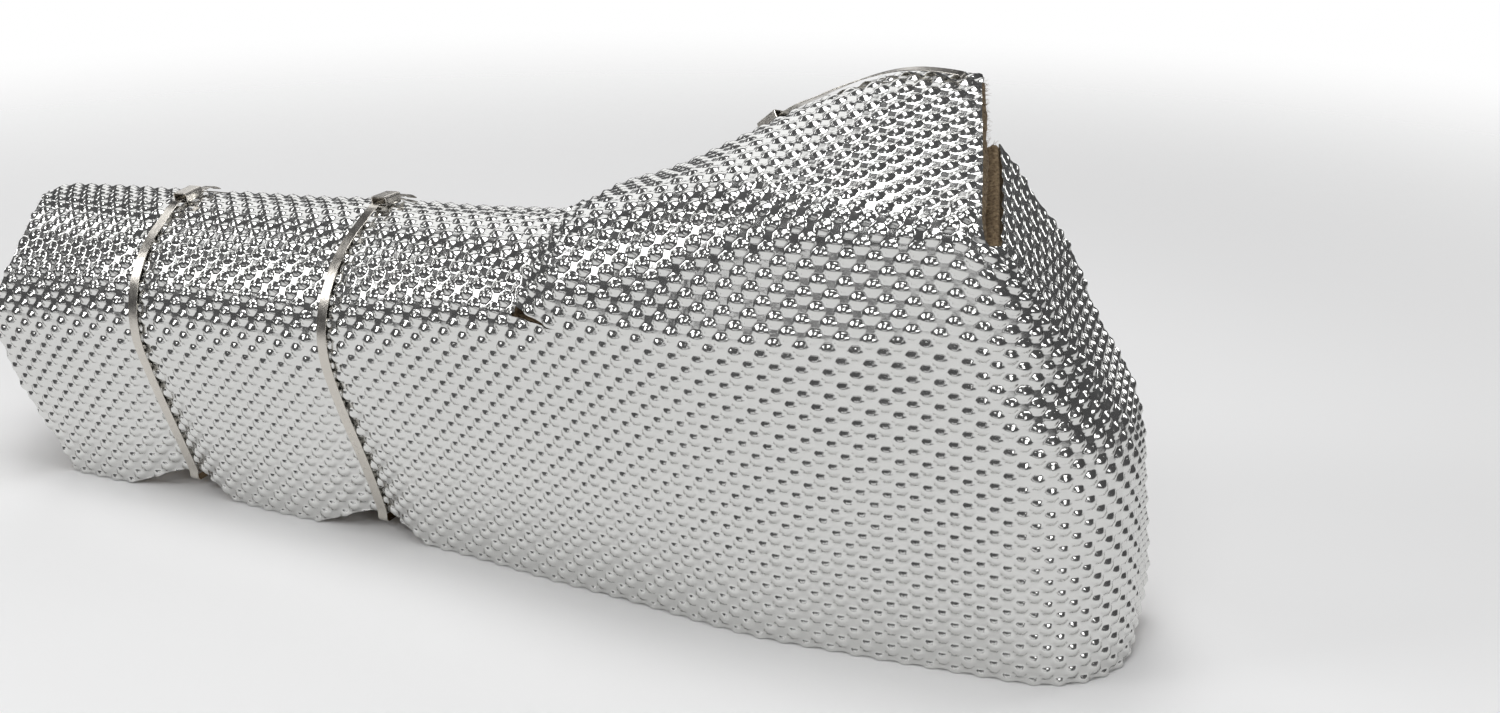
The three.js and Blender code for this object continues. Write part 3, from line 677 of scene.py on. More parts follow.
class SheetSkin:
    """Grid of flat stations for one zone, cut to its edges."""

    LEFT_END = -337.0
    LOG_REACH = 340.0
    FLAP_REACH = 420.0
    END_REACH = 230.0
    ROUNDS = 3
    EDGE = 0.01

    def __init__(self, form: MatForm, zone: Zone, step_u: float, step_v: float) -> None:
        """Lays the grid out.

        Args:
            form: The folded sheet.
            zone: Part of the sheet.
            step_u: Grid step along the sheet.
            step_v: Grid step across the sheet.
        """
        self.form = form
        self.zone = zone
        self.waist = float(form.collector_paths(np.array([form.log.notch_x])).marks[0][0])
        low_u, high_u, low_v, high_v = self._range()
        us = np.arange(math.floor(low_u / step_u), math.ceil(high_u / step_u) + 1) * step_u
        vs = np.arange(math.floor(low_v / step_v), math.ceil(high_v / step_v) + 1) * step_v
        u, v = np.meshgrid(us, vs, indexing="ij")
        for _ in range(self.ROUNDS):
            v = self._held_v(u, v)
            u = self._held_u(u, v)
        self.u, self.v, self.faces = self._weld(u, v)

    def _range(self) -> tuple[float, float, float, float]:
        form = self.form
        log, c = form.log, form.collector
        if self.zone is Zone.LOG:
            return self.LEFT_END, log.notch_x, 0, self.LOG_REACH
        if self.zone is Zone.LOWER:
            return log.notch_x, float(form.panel_edge(np.zeros(1))[0]), 0, self.waist
        if self.zone is Zone.FLAP:
            return log.notch_x, c.right_x, self.waist, self.FLAP_REACH
        return c.right_x, float(form.panel_edge(np.array([self.waist]))[0]), self.waist, self.END_REACH

    def _held_v(self, u: Array, v: Array) -> Array:
        form = self.form
        if self.zone is Zone.LOG:
            rise = form.hem_rise(u)
            return np.clip(v, rise, form.log_paths(u).length - rise)
        if self.zone is Zone.LOWER:
            return np.clip(v, form.hem_rise(u), self.waist)
        if self.zone is Zone.FLAP:
            inside = np.minimum(u, form.collector.right_x)
            return np.clip(v, self.waist, form.collector_paths(inside).length)
        top = form.end.slit_tip + form.end.panel_rise * (u - form.collector.right_x)
        return np.clip(v, self.waist, top)

    def _held_u(self, u: Array, v: Array) -> Array:
        form = self.form
        log, c, e = form.log, form.collector, form.end
        half_slit = e.slit_width / 2
        if self.zone is Zone.LOG:
            right = np.where(v > self.waist + self.EDGE, log.notch_x - half_slit, log.notch_x)
            return np.clip(u, along(log.left_edge, v), right)
        if self.zone is Zone.LOWER:
            return np.clip(u, log.notch_x, form.panel_edge(v))
        if self.zone is Zone.FLAP:
            past = v - e.slit_tip
            drawn = e.draw_in * np.clip(past / e.draw_length, 0, 1)
            behind = e.back_draw_in * smooth((past - e.draw_length) / e.back_draw_length)
            right = np.where(past > self.EDGE, c.right_x - e.slit_width - drawn - behind, c.right_x)
            return np.clip(u, log.notch_x + half_slit, right)
        return np.clip(u, c.right_x, form.panel_edge(v))

    @staticmethod
    def _weld(u: Array, v: Array) -> tuple[Array, Array, Faces]:
        key = np.round(np.stack([u.ravel(), v.ravel()], axis=-1), 4)
        _, first, number = np.unique(key, axis=0, return_index=True, return_inverse=True)
        number = number.reshape(u.shape)
        quads = np.stack([number[:-1, :-1], number[1:, :-1], number[1:, 1:], number[:-1, 1:]], axis=-1)
        faces = []
        for quad in quads.reshape(-1, 4).tolist():
            face = tuple(dict.fromkeys(quad))
            if len(face) > 2:
                faces.append(face)
        return u.ravel()[first], v.ravel()[first], faces

    def spots(self) -> tuple[Array, Array, Array, Array]:
        """Points and directions of the grid, with the flap's lifted corner.

        Returns:
            Points, normals, and directions of u and v.
        """
        v = self.v
        if self.zone is Zone.FLAP:
            log = self.form.log
            open_share = np.clip(1 - (self.u - log.notch_x) / log.notch_length, 0, 1)
            v = v + log.notch_opening * open_share * (1 - smooth((v - self.waist) / log.notch_fade))
        return self.form.point_and_normal(self.zone, self.u, v)


@dataclass
class Patch:
    """Welded grid of several zones."""

    u: Array
    v: Array
    points: Array
    normals: Array
    along_u: Array
    along_v: Array
    shear: Array
    faces: Faces


def welded(form: MatForm, zones: tuple[Zone, ...], step: float) -> Patch:
    """Joins the grids of some zones where they meet.

    Args:
        form: The folded sheet.
        zones: Parts of the sheet.
        step: Grid step both ways.

    Returns:
        One patch without double vertices.
    """
    columns, faces, count = [], [], 0
    for zone in zones:
        skin = SheetSkin(form, zone, step, step)
        row, shear = form.lattice(zone, skin.u, skin.v)
        columns.append(np.column_stack([skin.u, row, *skin.spots(), shear]))
        faces.extend(tuple(count + k for k in face) for face in skin.faces)
        count += len(skin.u)
    rows = np.concatenate(columns)
    _, first, number = np.unique(np.round(rows[:, 2:5], 2), axis=0, return_index=True, return_inverse=True)
    rows, number = rows[first], number.ravel().tolist()
    joined = [tuple(dict.fromkeys(number[k] for k in face)) for face in faces]
    joined = [face for face in joined if len(face) > 2]
    u, v, points, normals, along_u, along_v, shear = np.split(rows, (1, 2, 5, 8, 11, 14), axis=1)
    return Patch(u.ravel(), v.ravel(), points, normals, along_u, along_v, shear.ravel(), joined)


def dome(sizes: SheetSizes, u: Array, v: Array) -> tuple[Array, Array, Array]:
    """Height and slopes of the embossing.

    Args:
        sizes: Sheet sizes.
        u: Flat stations along the sheet.
        v: Flat stations across the sheet.

    Returns:
        Height, slope along u and slope along v.
    """
    pitch = 2 * sizes.half_pitch
    s, t = (u + v) / pitch, (u - v) / pitch
    ds, dt = s - np.round(s), t - np.round(t)
    x, y = (ds + dt) * sizes.half_pitch, (ds - dt) * sizes.half_pitch
    q = np.minimum((x * x + y * y) / sizes.dome_radius**2, 1)
    soft = np.maximum(1 - q, 1e-6) ** sizes.dome_edge
    height = sizes.dome_height * (1 - q) * soft
    slope = -sizes.dome_height * (1 + sizes.dome_edge) * soft * 2 / sizes.dome_radius**2
    slope = np.where(q < 1, slope, 0)
    return height, slope * x, slope * y


class MeshDraft:
    """Vertices, normals and faces gathered for one piece."""

    def __init__(self) -> None:
        """Starts an empty draft."""
        self.points: list[Array] = []
        self.normals: list[Array] = []
        self.faces: Faces = []
        self.count = 0

    def add(self, points: Array, normals: Array, faces: Faces) -> int:
        """Adds a part of the mesh.

        Args:
            points: Points in the mat's axes.
            normals: Normals, one a point.
            faces: Faces by the part's own numbers.

        Returns:
            The number that the part's first point has in the draft.
        """
        start = self.count
        self.points.append(points)
        self.normals.append(normals)
        self.faces.extend(tuple(start + k for k in face) for face in faces)
        self.count += len(points)
        return start

    def build(self, name: str, origin: Array, material: bpy.types.Material) -> bpy.types.Object:
        """Makes the Blender object.

        Args:
            name: Name of the piece.
            origin: Place of the mat's axes in the row frame, in metres.
            material: Finish of the piece.

        Returns:
            The object, linked to the scene.
        """
        points = np.concatenate(self.points) * MILLIMETRE + origin
        mesh = bpy.data.meshes.new(name)
        mesh.from_pydata(points.tolist(), [], self.faces)
        mesh.polygons.foreach_set("use_smooth", [True] * len(mesh.polygons))
        mesh.normals_split_custom_set_from_vertices(np.concatenate(self.normals).tolist())
        mesh.materials.append(material)
        mesh.validate()
        piece = bpy.data.objects.new(name, mesh)
        bpy.context.scene.collection.objects.link(piece)
        return piece


def border(faces: Faces) -> list[tuple[int, int]]:
    """Finds the open edges of a face list.

    Args:
        faces: Faces by vertex number.

    Returns:
        Directed edges that only one face uses.
    """
    steps = set()
    for face in faces:
        steps.update(zip(face, face[1:] + face[:1]))
    return [(a, b) for a, b in steps if (b, a) not in steps]


@dataclass(frozen=True)
class TuftSizes:
    """Loose fibres on the cut edges of the core, in millimetres."""

    density: float = 0.42
    length: float = 2.4
    width: float = 0.16
    bend: float = 0.7
    taper: float = 0.6
    root: float = 0.2
    lean: float = 0.9
    smallest: float = 0.5
    largest: float = 1.2
    sides: int = 3
    joints: int = 3
    seed: int = 11


class Tufts:
    """Scatters loose fibres over a surface with Geometry Nodes."""

    def __init__(self, sizes: TuftSizes, material: bpy.types.Material) -> None:
        """Keeps the sizes and builds the node tree.

        Args:
            sizes: Fibre sizes.
            material: Finish of the fibres.
        """
        self.sizes = sizes
        self.material = material
        self.hair = self._hair()
        self.tree = self._tree()

    def _hair(self) -> bpy.types.Object:
        s = self.sizes
        points, faces = [], []
        for k in range(s.joints + 1):
            share = k / s.joints
            width = s.width * (1 - s.taper * share) / 2
            for corner in range(s.sides):
                angle = 2 * math.pi * corner / s.sides
                sideways = width * math.cos(angle) + s.bend * share * share
                points.append((sideways, width * math.sin(angle), s.length * (share - s.root)))
        for k in range(s.joints):
            for corner in range(s.sides):
                after = (corner + 1) % s.sides
                low, high = k * s.sides, (k + 1) * s.sides
                faces.append((low + corner, low + after, high + after, high + corner))
        last = s.joints * s.sides
        faces += [tuple(reversed(range(s.sides))), tuple(range(last, last + s.sides))]
        mesh = bpy.data.meshes.new("fibre")
        mesh.from_pydata(points, [], faces)
        return bpy.data.objects.new("fibre", mesh)

    def _tree(self) -> bpy.types.NodeTree:
        tree = bpy.data.node_groups.new("fibre_tufts", "GeometryNodeTree")
        sockets = tree.interface
        sockets.new_socket("Surface", in_out="INPUT", socket_type="NodeSocketGeometry")
        kinds = {"Density": "Float", "Seed": "Int", "Fibre": "Object", "Material": "Material"}
        for name, kind in kinds.items():
            sockets.new_socket(name, in_out="INPUT", socket_type=f"NodeSocket{kind}")
        sockets.new_socket("Tufts", in_out="OUTPUT", socket_type="NodeSocketGeometry")
        enter = tree.nodes.new("NodeGroupInput")
        leave = tree.nodes.new("NodeGroupOutput")
        scatter = tree.nodes.new("GeometryNodeDistributePointsOnFaces")
        shape = tree.nodes.new("GeometryNodeObjectInfo")
        turn = tree.nodes.new("FunctionNodeRandomValue")
        turn.data_type = "FLOAT_VECTOR"
        lean = self.sizes.lean
        turn.inputs[0].default_value = (-lean, -lean, -math.pi)
        turn.inputs[1].default_value = (lean, lean, math.pi)
        rotate = tree.nodes.new("FunctionNodeRotateEuler")
        rotate.rotation_type = "EULER"
        rotate.space = "LOCAL"
        size = tree.nodes.new("FunctionNodeRandomValue")
        size.inputs[2].default_value = self.sizes.smallest
        size.inputs[3].default_value = self.sizes.largest
        place = tree.nodes.new("GeometryNodeInstanceOnPoints")
        real = tree.nodes.new("GeometryNodeRealizeInstances")
        finish = tree.nodes.new("GeometryNodeSetMaterial")
        link = tree.links.new
        link(enter.outputs["Surface"], scatter.inputs["Mesh"])
        link(enter.outputs["Density"], scatter.inputs["Density"])
        link(enter.outputs["Seed"], scatter.inputs["Seed"])
        link(enter.outputs["Seed"], turn.inputs["Seed"])
        link(enter.outputs["Fibre"], shape.inputs["Object"])
        link(scatter.outputs["Rotation"], rotate.inputs["Rotation"])
        link(turn.outputs[0], rotate.inputs["Rotate By"])
        link(scatter.outputs["Points"], place.inputs["Points"])
        link(shape.outputs["Geometry"], place.inputs["Instance"])
        link(rotate.outputs["Rotation"], place.inputs["Rotation"])
        link(size.outputs[1], place.inputs["Scale"])
        link(place.outputs["Instances"], real.inputs["Geometry"])
        link(real.outputs["Geometry"], finish.inputs["Geometry"])
        link(enter.outputs["Material"], finish.inputs["Material"])
        link(finish.outputs["Geometry"], leave.inputs["Tufts"])
        return tree

    def grown(self, points: Array, faces: Faces) -> tuple[Array, Array, Faces]:
        """Grows fibres on a surface.

        Args:
            points: Points of the surface, in the mat's axes.
            faces: Faces of the surface.

        Returns:
            Points, normals and faces of the fibres.
        """
        mesh = bpy.data.meshes.new("cut_edges")
        mesh.from_pydata(points.tolist(), [], faces)
        surface = bpy.data.objects.new("cut_edges", mesh)
        scene = bpy.context.scene.collection
        scene.objects.link(surface)
        scene.objects.link(self.hair)
        modifier = surface.modifiers.new("tufts", "NODES")
        modifier.node_group = self.tree
        values = {
            "Density": self.sizes.density, "Seed": self.sizes.seed,
            "Fibre": self.hair, "Material": self.material,
        }
        for item in self.tree.interface.items_tree:
            if item.name in values and item.in_out == "INPUT":
                modifier[item.identifier] = values[item.name]
        bpy.context.view_layer.update()
        graph = bpy.context.evaluated_depsgraph_get()
        grown = bpy.data.meshes.new_from_object(surface.evaluated_get(graph))
        surface.modifiers.remove(modifier)
        spots = np.array([tuple(vertex.co) for vertex in grown.vertices]).reshape(-1, 3)
        normals = np.array([tuple(vertex.normal) for vertex in grown.vertices]).reshape(-1, 3)
        made = [tuple(polygon.vertices) for polygon in grown.polygons]
        for thing in (surface, self.hair):
            bpy.data.objects.remove(thing)
        bpy.data.meshes.remove(grown)
        LOG.info("fibres: %d faces", len(made))
        return spots, normals, made


@dataclass(frozen=True)
class Finish:
    """Numbers of one material."""

    color: tuple[float, float, float]
    metallic: float
    roughness: float


@dataclass(frozen=True)
class Wear:
    """Grain of a worn metal: its scale, the spread of its roughness and its depth in metres."""

    scale: float
    spread: float
    depth: float


@dataclass(frozen=True)
class FibreShades:
    """Dark and light fibres, and where the grain passes from one to the other."""

    dark: tuple[float, float, float, float] = (0.10, 0.065, 0.035, 1)
    light: tuple[float, float, float, float] = (0.40, 0.30, 0.18, 1)
    dark_end: float = 0.3
    light_end: float = 0.75
    scale: float = 900.0


class Finishes:
    """Materials of the mat."""

    FOIL = Finish((0.72, 0.72, 0.705), 1.0, 0.17)
    FIBRE = Finish((0.24, 0.17, 0.09), 0.0, 0.95)
    STEEL = Finish((0.62, 0.59, 0.54), 1.0, 0.24)
    FOIL_WEAR = Wear(260, 0.16, 0.00012)
    STEEL_WEAR = Wear(500, 0.2, 0.00004)

    def __init__(self) -> None:
        """Makes the materials."""
        self.grain = self._grain_group()
        self.foil = self._plain("embossed_foil", self.FOIL)
        self.fibre = self._plain("mineral_fibre", self.FIBRE)
        self.steel = self._plain("tie_steel", self.STEEL)
        self._fibre_grain()
        self._wear(self.foil, self.FOIL_WEAR)
        self._wear(self.steel, self.STEEL_WEAR)

    @staticmethod
    def _plain(name: str, finish: Finish) -> bpy.types.Material:
        material = bpy.data.materials.new(name)
        material.use_nodes = True
        shader = material.node_tree.nodes["Principled BSDF"]
        shader.inputs["Base Color"].default_value = (*finish.color, 1)
        shader.inputs["Metallic"].default_value = finish.metallic
        shader.inputs["Roughness"].default_value = finish.roughness
        return material

    def _fibre_grain(self) -> None:
        tree = self.fibre.node_tree
        shades = FibreShades()
        grain = self._grain_node(tree, shades.scale, 1)
        ramp = tree.nodes.new("ShaderNodeValToRGB")
        ramp.color_ramp.elements[0].position = shades.dark_end
        ramp.color_ramp.elements[0].color = shades.dark
        ramp.color_ramp.elements[1].position = shades.light_end
        ramp.color_ramp.elements[1].color = shades.light
        tree.links.new(grain.outputs["Value"], ramp.inputs["Fac"])
        tree.links.new(ramp.outputs["Color"], tree.nodes["Principled BSDF"].inputs["Base Color"])

    def _grain_node(self, tree: bpy.types.NodeTree, scale: float, spread: float) -> bpy.types.ShaderNode:
        node = tree.nodes.new("ShaderNodeGroup")
        node.node_tree = self.grain
        node.inputs["Scale"].default_value = scale
        node.inputs["Spread"].default_value = spread
        return node

    def _wear(self, material: bpy.types.Material, wear: Wear) -> None:
        tree = material.node_tree
        shader = tree.nodes["Principled BSDF"]
        grain = self._grain_node(tree, wear.scale, wear.spread)
        grain.inputs["Middle"].default_value = shader.inputs["Roughness"].default_value
        tree.links.new(grain.outputs["Value"], shader.inputs["Roughness"])
        bump = tree.nodes.new("ShaderNodeBump")
        bump.inputs["Distance"].default_value = wear.depth
        tree.links.new(grain.outputs["Noise"], bump.inputs["Height"])
        tree.links.new(bump.outputs["Normal"], shader.inputs["Normal"])

    @staticmethod
    def _grain_group() -> bpy.types.NodeTree:
        tree = bpy.data.node_groups.new("surface_grain", "ShaderNodeTree")
        for name, value in (("Scale", 300.0), ("Middle", 0.5), ("Spread", 0.1)):
            socket = tree.interface.new_socket(name, in_out="INPUT", socket_type="NodeSocketFloat")
            socket.default_value = value
        for name in ("Value", "Noise"):
            tree.interface.new_socket(name, in_out="OUTPUT", socket_type="NodeSocketFloat")
        enter = tree.nodes.new("NodeGroupInput")
        leave = tree.nodes.new("NodeGroupOutput")
        place = tree.nodes.new("ShaderNodeTexCoord")
        noise = tree.nodes.new("ShaderNodeTexNoise")
        noise.inputs["Detail"].default_value = 3
        centred = tree.nodes.new("ShaderNodeMath")
        centred.operation = "SUBTRACT"
        centred.inputs[1].default_value = 0.5
        spread = tree.nodes.new("ShaderNodeMath")
        spread.operation = "MULTIPLY_ADD"
        link = tree.links.new
        link(place.outputs["Object"], noise.inputs["Vector"])
        link(enter.outputs["Scale"], noise.inputs["Scale"])
        link(noise.outputs["Fac"], centred.inputs[0])
        link(centred.outputs[0], spread.inputs[0])
        link(enter.outputs["Spread"], spread.inputs[1])
        link(enter.outputs["Middle"], spread.inputs[2])
        link(spread.outputs[0], leave.inputs["Value"])
        link(noise.outputs["Fac"], leave.inputs["Noise"])
        return tree


class Mat:
    """Facing and core of the mat."""

    def __init__(self, form: MatForm, sizes: SheetSizes, finishes: Finishes, origin: Array) -> None:
        """Keeps what the pieces share.

        Args:
            form: The folded sheet.
            sizes: Layers and embossing.
            finishes: Materials.
            origin: Place of the mat's axes in the row frame, in metres.
        """
        self.form = form
        self.sizes = sizes
        self.finishes = finishes
        self.origin = origin

    def facing(self, name: str, zones: tuple[Zone, ...]) -> bpy.types.Object:
        """Builds the embossed skin of some zones.

        Args:
            name: Name of the piece.
            zones: Parts of the sheet.

        Returns:
            The piece.
        """
        s = self.sizes
        draft = MeshDraft()
        skin = welded(self.form, zones, s.half_pitch / s.foil_steps)
        height, slope_u, slope_v = dome(s, skin.u, skin.v)
        slope_u = slope_u + slope_v * skin.shear
        shading = tilted(skin.normals, skin.along_u, skin.along_v, slope_u, slope_v)
        outside = skin.points + skin.normals * height[:, None]
        draft.add(outside, shading, skin.faces)
        edges = border(skin.faces)
        ring = sorted({k for edge in edges for k in edge})
        place = {k: n for n, k in enumerate(ring)}
        edges = [(place[a], place[b]) for a, b in edges]
        rim = [(b, a, a + len(ring), b + len(ring)) for a, b in edges]
        feet = skin.points[ring] - skin.normals[ring] * s.foil
        side = self._rim_normals(outside[ring], edges, skin.normals[ring])
        draft.add(np.concatenate([outside[ring], feet]), np.concatenate([side, side]), rim)
        piece = draft.build(name, self.origin, self.finishes.foil)
        LOG.info("%s: %d vertices", name, len(piece.data.vertices))
        return piece

    @staticmethod
    def _rim_normals(points: Array, edges: list[tuple[int, int]], normals: Array) -> Array:
        out = np.zeros_like(points)
        for a, b in edges:
            side = np.cross(points[b] - points[a], normals[a])
            out[a] += side
            out[b] += side
        return out / np.maximum(np.linalg.norm(out, axis=-1, keepdims=True), TINY)

    def core(self) -> bpy.types.Object:
        """Builds the fibre core as one closed body.

        Returns:
            The piece.
        """
        s = self.sizes
        skin = welded(self.form, tuple(Zone), s.core_step)
        points, normals = skin.points, skin.normals
        draft = MeshDraft()
        depths = np.linspace(s.core_depth, s.core_depth + s.core, s.core_layers + 1)
        rng = np.random.default_rng(s.seed)
        draft.add(points - normals * depths[0], normals, skin.faces)
        draft.add(points - normals * depths[-1], -normals, [face[::-1] for face in skin.faces])
        edges = border(skin.faces)
        ring = sorted({k for edge in edges for k in edge})
        place = {k: n for n, k in enumerate(ring)}
        edges = [(place[a], place[b]) for a, b in edges]
        side = self._rim_normals(points[ring], edges, normals[ring])
        lifted = np.clip(1 + s.hem_fade * side[:, 2], 0, 1)
        rings, quads = [], []
        for layer, depth in enumerate(depths):
            spots = points[ring] - normals[ring] * depth
            if 0 < layer < s.core_layers:
                puff = s.bulge * math.sin(math.pi * layer / s.core_layers) * lifted
                spots = spots + side * puff[:, None] + rng.normal(0, s.roughness, spots.shape)
            rings.append(spots)
            if layer < s.core_layers:
                low, high = layer * len(ring), (layer + 1) * len(ring)
                quads += [(low + b, low + a, high + a, high + b) for a, b in edges]
        rim_points = np.concatenate(rings)
        draft.add(rim_points, np.concatenate([side] * len(depths)), quads)
        tufts = Tufts(TuftSizes(), self.finishes.fibre)
        draft.add(*tufts.grown(rim_points, quads))
        piece = draft.build("fibre_core_edges", self.origin, self.finishes.fibre)
        LOG.info("core: %d vertices", len(piece.data.vertices))
        return piece


@dataclass
class Station:
    """One place along a tie band."""

    point: Array
    normal: Array


class Tie:
    """Band, lock head and ball of one tie."""

    def __init__(self, number: int, form: MatForm, finishes: Finishes) -> None:
        """Keeps what the pieces share.

        Args:
            number: Number of the tie, from 1.
            form: The folded sheet.
            finishes: Materials.
        """
        self.number = number
        self.form = form
        self.finishes = finishes
        t = form.tie
        self.crest = number > len(t.stations)
        self.standoff = t.strap_standoff if self.crest else t.standoff
        lift = self.standoff - t.standoff
        self.lower = t.head_standoff + t.head_wall + t.head_gap
        self.upper = self.lower + t.thickness + t.head_gap
        self.ball_seat = self.upper + t.thickness + t.head_gap
        self.top = self.ball_seat + t.ball + t.head_gap + t.head_wall
        spot = self._base(0.0)
        ahead, behind = self._base(1.0), self._base(-1.0)
        tangent = ahead.point - behind.point
        tangent /= np.linalg.norm(tangent)
        side = np.cross(spot.normal, tangent)
        side /= np.linalg.norm(side)
        up = np.cross(tangent, side)
        self.seat = (spot.point + spot.normal * lift, side, up, tangent)
        self.stations = self._crest_run() if self.crest else self._log_run()

    def _on_log(self, v: float) -> Station:
        t = self.form.tie
        vs = np.array([float(v)])
        u = self.form.tie_station(t.stations[self.number - 1], vs)
        point, normal, _, _ = self.form.point_and_normal(Zone.LOG, u, vs)
        return Station(point[0], normal[0])

    def _on_crest(self, x: float) -> Station:
        form = self.form
        xs = np.array([float(x)])
        paths = form.collector_paths(xs)
        depth = float(along(form.tie.strap_y, xs)[0])
        low, high = float(paths.marks[1][0]), float(paths.marks[3][0])
        for _ in range(HALVINGS):
            middle = (low + high) / 2
            if paths.at(np.array([middle]))[0, 0] < depth:
                low = middle
            else:
                high = middle
        point, normal, _, _ = form.point_and_normal(Zone.FLAP, xs, np.array([low]))
        return Station(point[0], normal[0])

    def _base(self, d: float) -> Station:
        t = self.form.tie
        if self.crest:
            return self._on_crest(t.strap_head_x - d)
        return self._on_log(t.head_places[self.number - 1] + d)

    def _near_head(self, d: float, layer: float) -> Station:
        t = self.form.tie
        if abs(d) <= t.half_seat:
            origin, _, up, tangent = self.seat
            return Station(origin + up * layer + tangent * d, up)
        share = float(1 - smooth(np.array((abs(d) - t.half_seat) / t.ramp)))
        height = mix(self.standoff, layer + self.standoff - t.standoff, share)
        bare = self._base(d)
        return Station(bare.point + bare.normal * height, bare.normal)

    @staticmethod
    def _steps(start: float, stop: float, pitch: float) -> Array:
        return np.linspace(start, stop, max(2, int(math.ceil(abs(stop - start) / pitch)) + 1))

    def _tail(self) -> list[Station]:
        t = self.form.tie
        stations = []
        for share in np.linspace(t.tail_root, 1, t.tail_steps):
            bare = self._base(t.half_seat + share * t.tail_length)
            height = self.upper + self.standoff - t.standoff + t.tail_droop * math.sin(math.pi * share) / 2
            stations.append(Station(bare.point + bare.normal * height, bare.normal))
        return stations

    def _log_run(self) -> list[Station]:
        t, form = self.form.tie, self.form
        station = t.stations[self.number - 1]
        place = t.head_places[self.number - 1]
        length = float(form.log_paths(np.array([station])).length[0])
        rise = float(form.hem_rise(form.tie_station(station, np.zeros(1)))[0])
        run = self._layer((-t.lead, 0, t.half_seat), self.lower)
        back_run = length - rise - place - t.hem_gap
        run += self._layer(self._steps(t.half_seat + t.seat_gap, back_run, t.step), self.lower)
        back = run[-1].point
        front = self._on_log(rise + t.hem_gap)
        turn = t.run_drop * t.turn_share
        low = rise - t.run_drop + turn
        run += self._hem_turn(back, low, turn, 1)
        run += self._hem_turn(front.point + front.normal * t.standoff, low, turn, -1)
        run += self._layer(self._steps(rise + t.hem_gap - place, -t.half_seat - t.seat_gap, t.step), self.upper)
        run += self._layer((-t.half_seat, t.half_seat), self.upper)
        return run + self._tail()

    def _layer(self, places: Sequence[float], layer: float) -> list[Station]:
        return [self._near_head(place, layer) for place in places]

    @staticmethod
    def _hem_turn(spot: Array, low: float, turn: float, direction: int) -> list[Station]:
        stations = []
        for angle in np.radians((0, 22, 45, 67, 90)[::direction]):
            drop = np.array([0, -direction * turn * (1 - math.cos(angle)), -turn * math.sin(angle)])
            normal = np.array([0, direction * math.cos(angle), -math.sin(angle)])
            stations.append(Station(np.array([spot[0], spot[1], low]) + drop, normal))
        return stations

    def _crest_run(self) -> list[Station]:
        t = self.form.tie
        back_x, front_x = t.strap_ends
        sizes = SheetSizes()
        underside = -(sizes.core_depth + sizes.core + t.strap_underside)

        def lifted(x: float, height: float, direction: float) -> Station:
            spot = self._on_crest(x)
            return Station(spot.point + spot.normal * height, spot.normal * direction)

        def turned(x: float, height: float, direction: float) -> Station:
            run_along = self._on_crest(x + 1).point - self._on_crest(x - 1).point
            return Station(lifted(x, height, 1).point, run_along / np.linalg.norm(run_along) * direction)

        over, under = t.strap_standoff - t.strap_turn, underside + t.strap_turn
        run = self._layer((-t.lead, 0, t.half_seat), self.lower)
        back_run = t.strap_head_x - back_x
        run += self._layer(self._steps(t.half_seat + t.seat_gap, back_run - t.strap_turn, t.step), self.lower)
        run += [turned(back_x, over, -1), turned(back_x, under, -1)]
        for x in self._steps(back_x + t.strap_turn, front_x - t.strap_turn, t.step * 2):
            run.append(lifted(x, underside, -1))
        run += [turned(front_x, under, 1), turned(front_x, over, 1)]
        start = t.strap_head_x - front_x + t.strap_turn
        run += self._layer(self._steps(start, -t.half_seat - t.seat_gap, t.step), self.upper)
        run += self._layer((-t.half_seat, t.half_seat), self.upper)
        return run + self._tail()

    def centre(self) -> Array:
        """Centre of the band's box.

        Returns:
            The point in the mat's axes, in millimetres.
        """
        points = np.array([station.point for station in self.stations])
        return (points.min(axis=0) + points.max(axis=0)) / 2

    def band(self, origin: Array) -> bpy.types.Object:
        """Builds the strip with rounded edges.

        Args:
            origin: Place of the mat's axes in the row frame, in metres.

        Returns:
            The piece.
        """
        t = self.form.tie
        half, edge = t.width / 2, t.thickness / 2
        section = []
        for centre, start in ((half - edge, -90), (-half + edge, 90)):
            for angle in np.radians(start + np.linspace(0, 180, 5)):
                section.append((centre + edge * math.cos(angle), edge + edge * math.sin(angle), angle))
        points, normals = [], []
        for k, station in enumerate(self.stations):
            before = self.stations[max(0, k - 1)].point
            after = self.stations[min(len(self.stations) - 1, k + 1)].point
            tangent = (after - before) / np.linalg.norm(after - before)
            side = np.cross(tangent, station.normal)
            side /= np.linalg.norm(side)
            up = np.cross(side, tangent)
            for across, rise, angle in section:
                points.append(station.point + side * across + up * rise)
                normals.append(side * math.cos(angle) + up * math.sin(angle))
        ring = len(section)
        faces = []
        for k in range(len(self.stations) - 1):
            for c in range(ring):
                a, b = k * ring + c, k * ring + (c + 1) % ring
                faces.append((b, a, a + ring, b + ring))
        last = (len(self.stations) - 1) * ring
        faces.append(tuple(range(ring)))
        faces.append(tuple(last + c for c in reversed(range(ring))))
        draft = MeshDraft()
        draft.add(np.array(points), np.array(normals), faces)
        return draft.build(f"tie_{self.number}_strip", origin, self.finishes.steel)

    def _seated(self, across: float, rise: float, run: float) -> Array:
        origin, side, up, tangent = self.seat
        return origin + side * across + up * rise + tangent * run

    def head(self, origin: Array) -> bpy.types.Object:
        """Builds the folded lock head.

        Args:
            origin: Place of the mat's axes in the row frame, in metres.

        Returns:
            The piece.
        """
        t = self.form.tie
        middle = (t.head_standoff + self.top) / 2

        def loop(inset: float, radius: float) -> list[tuple[float, float]]:
            half_width = t.head_width / 2 - inset
            half_height = (self.top - t.head_standoff) / 2 - inset
            spots = []
            for sx, sy, start in ((1, 1, 0), (-1, 1, 90), (-1, -1, 180), (1, -1, 270)):
                for angle in np.radians(start + np.linspace(0, 90, 5)):
                    x = sx * (half_width - radius) + radius * math.cos(angle)
                    y = sy * (half_height - radius) + radius * math.sin(angle)
                    spots.append((x, middle + y))
            return spots

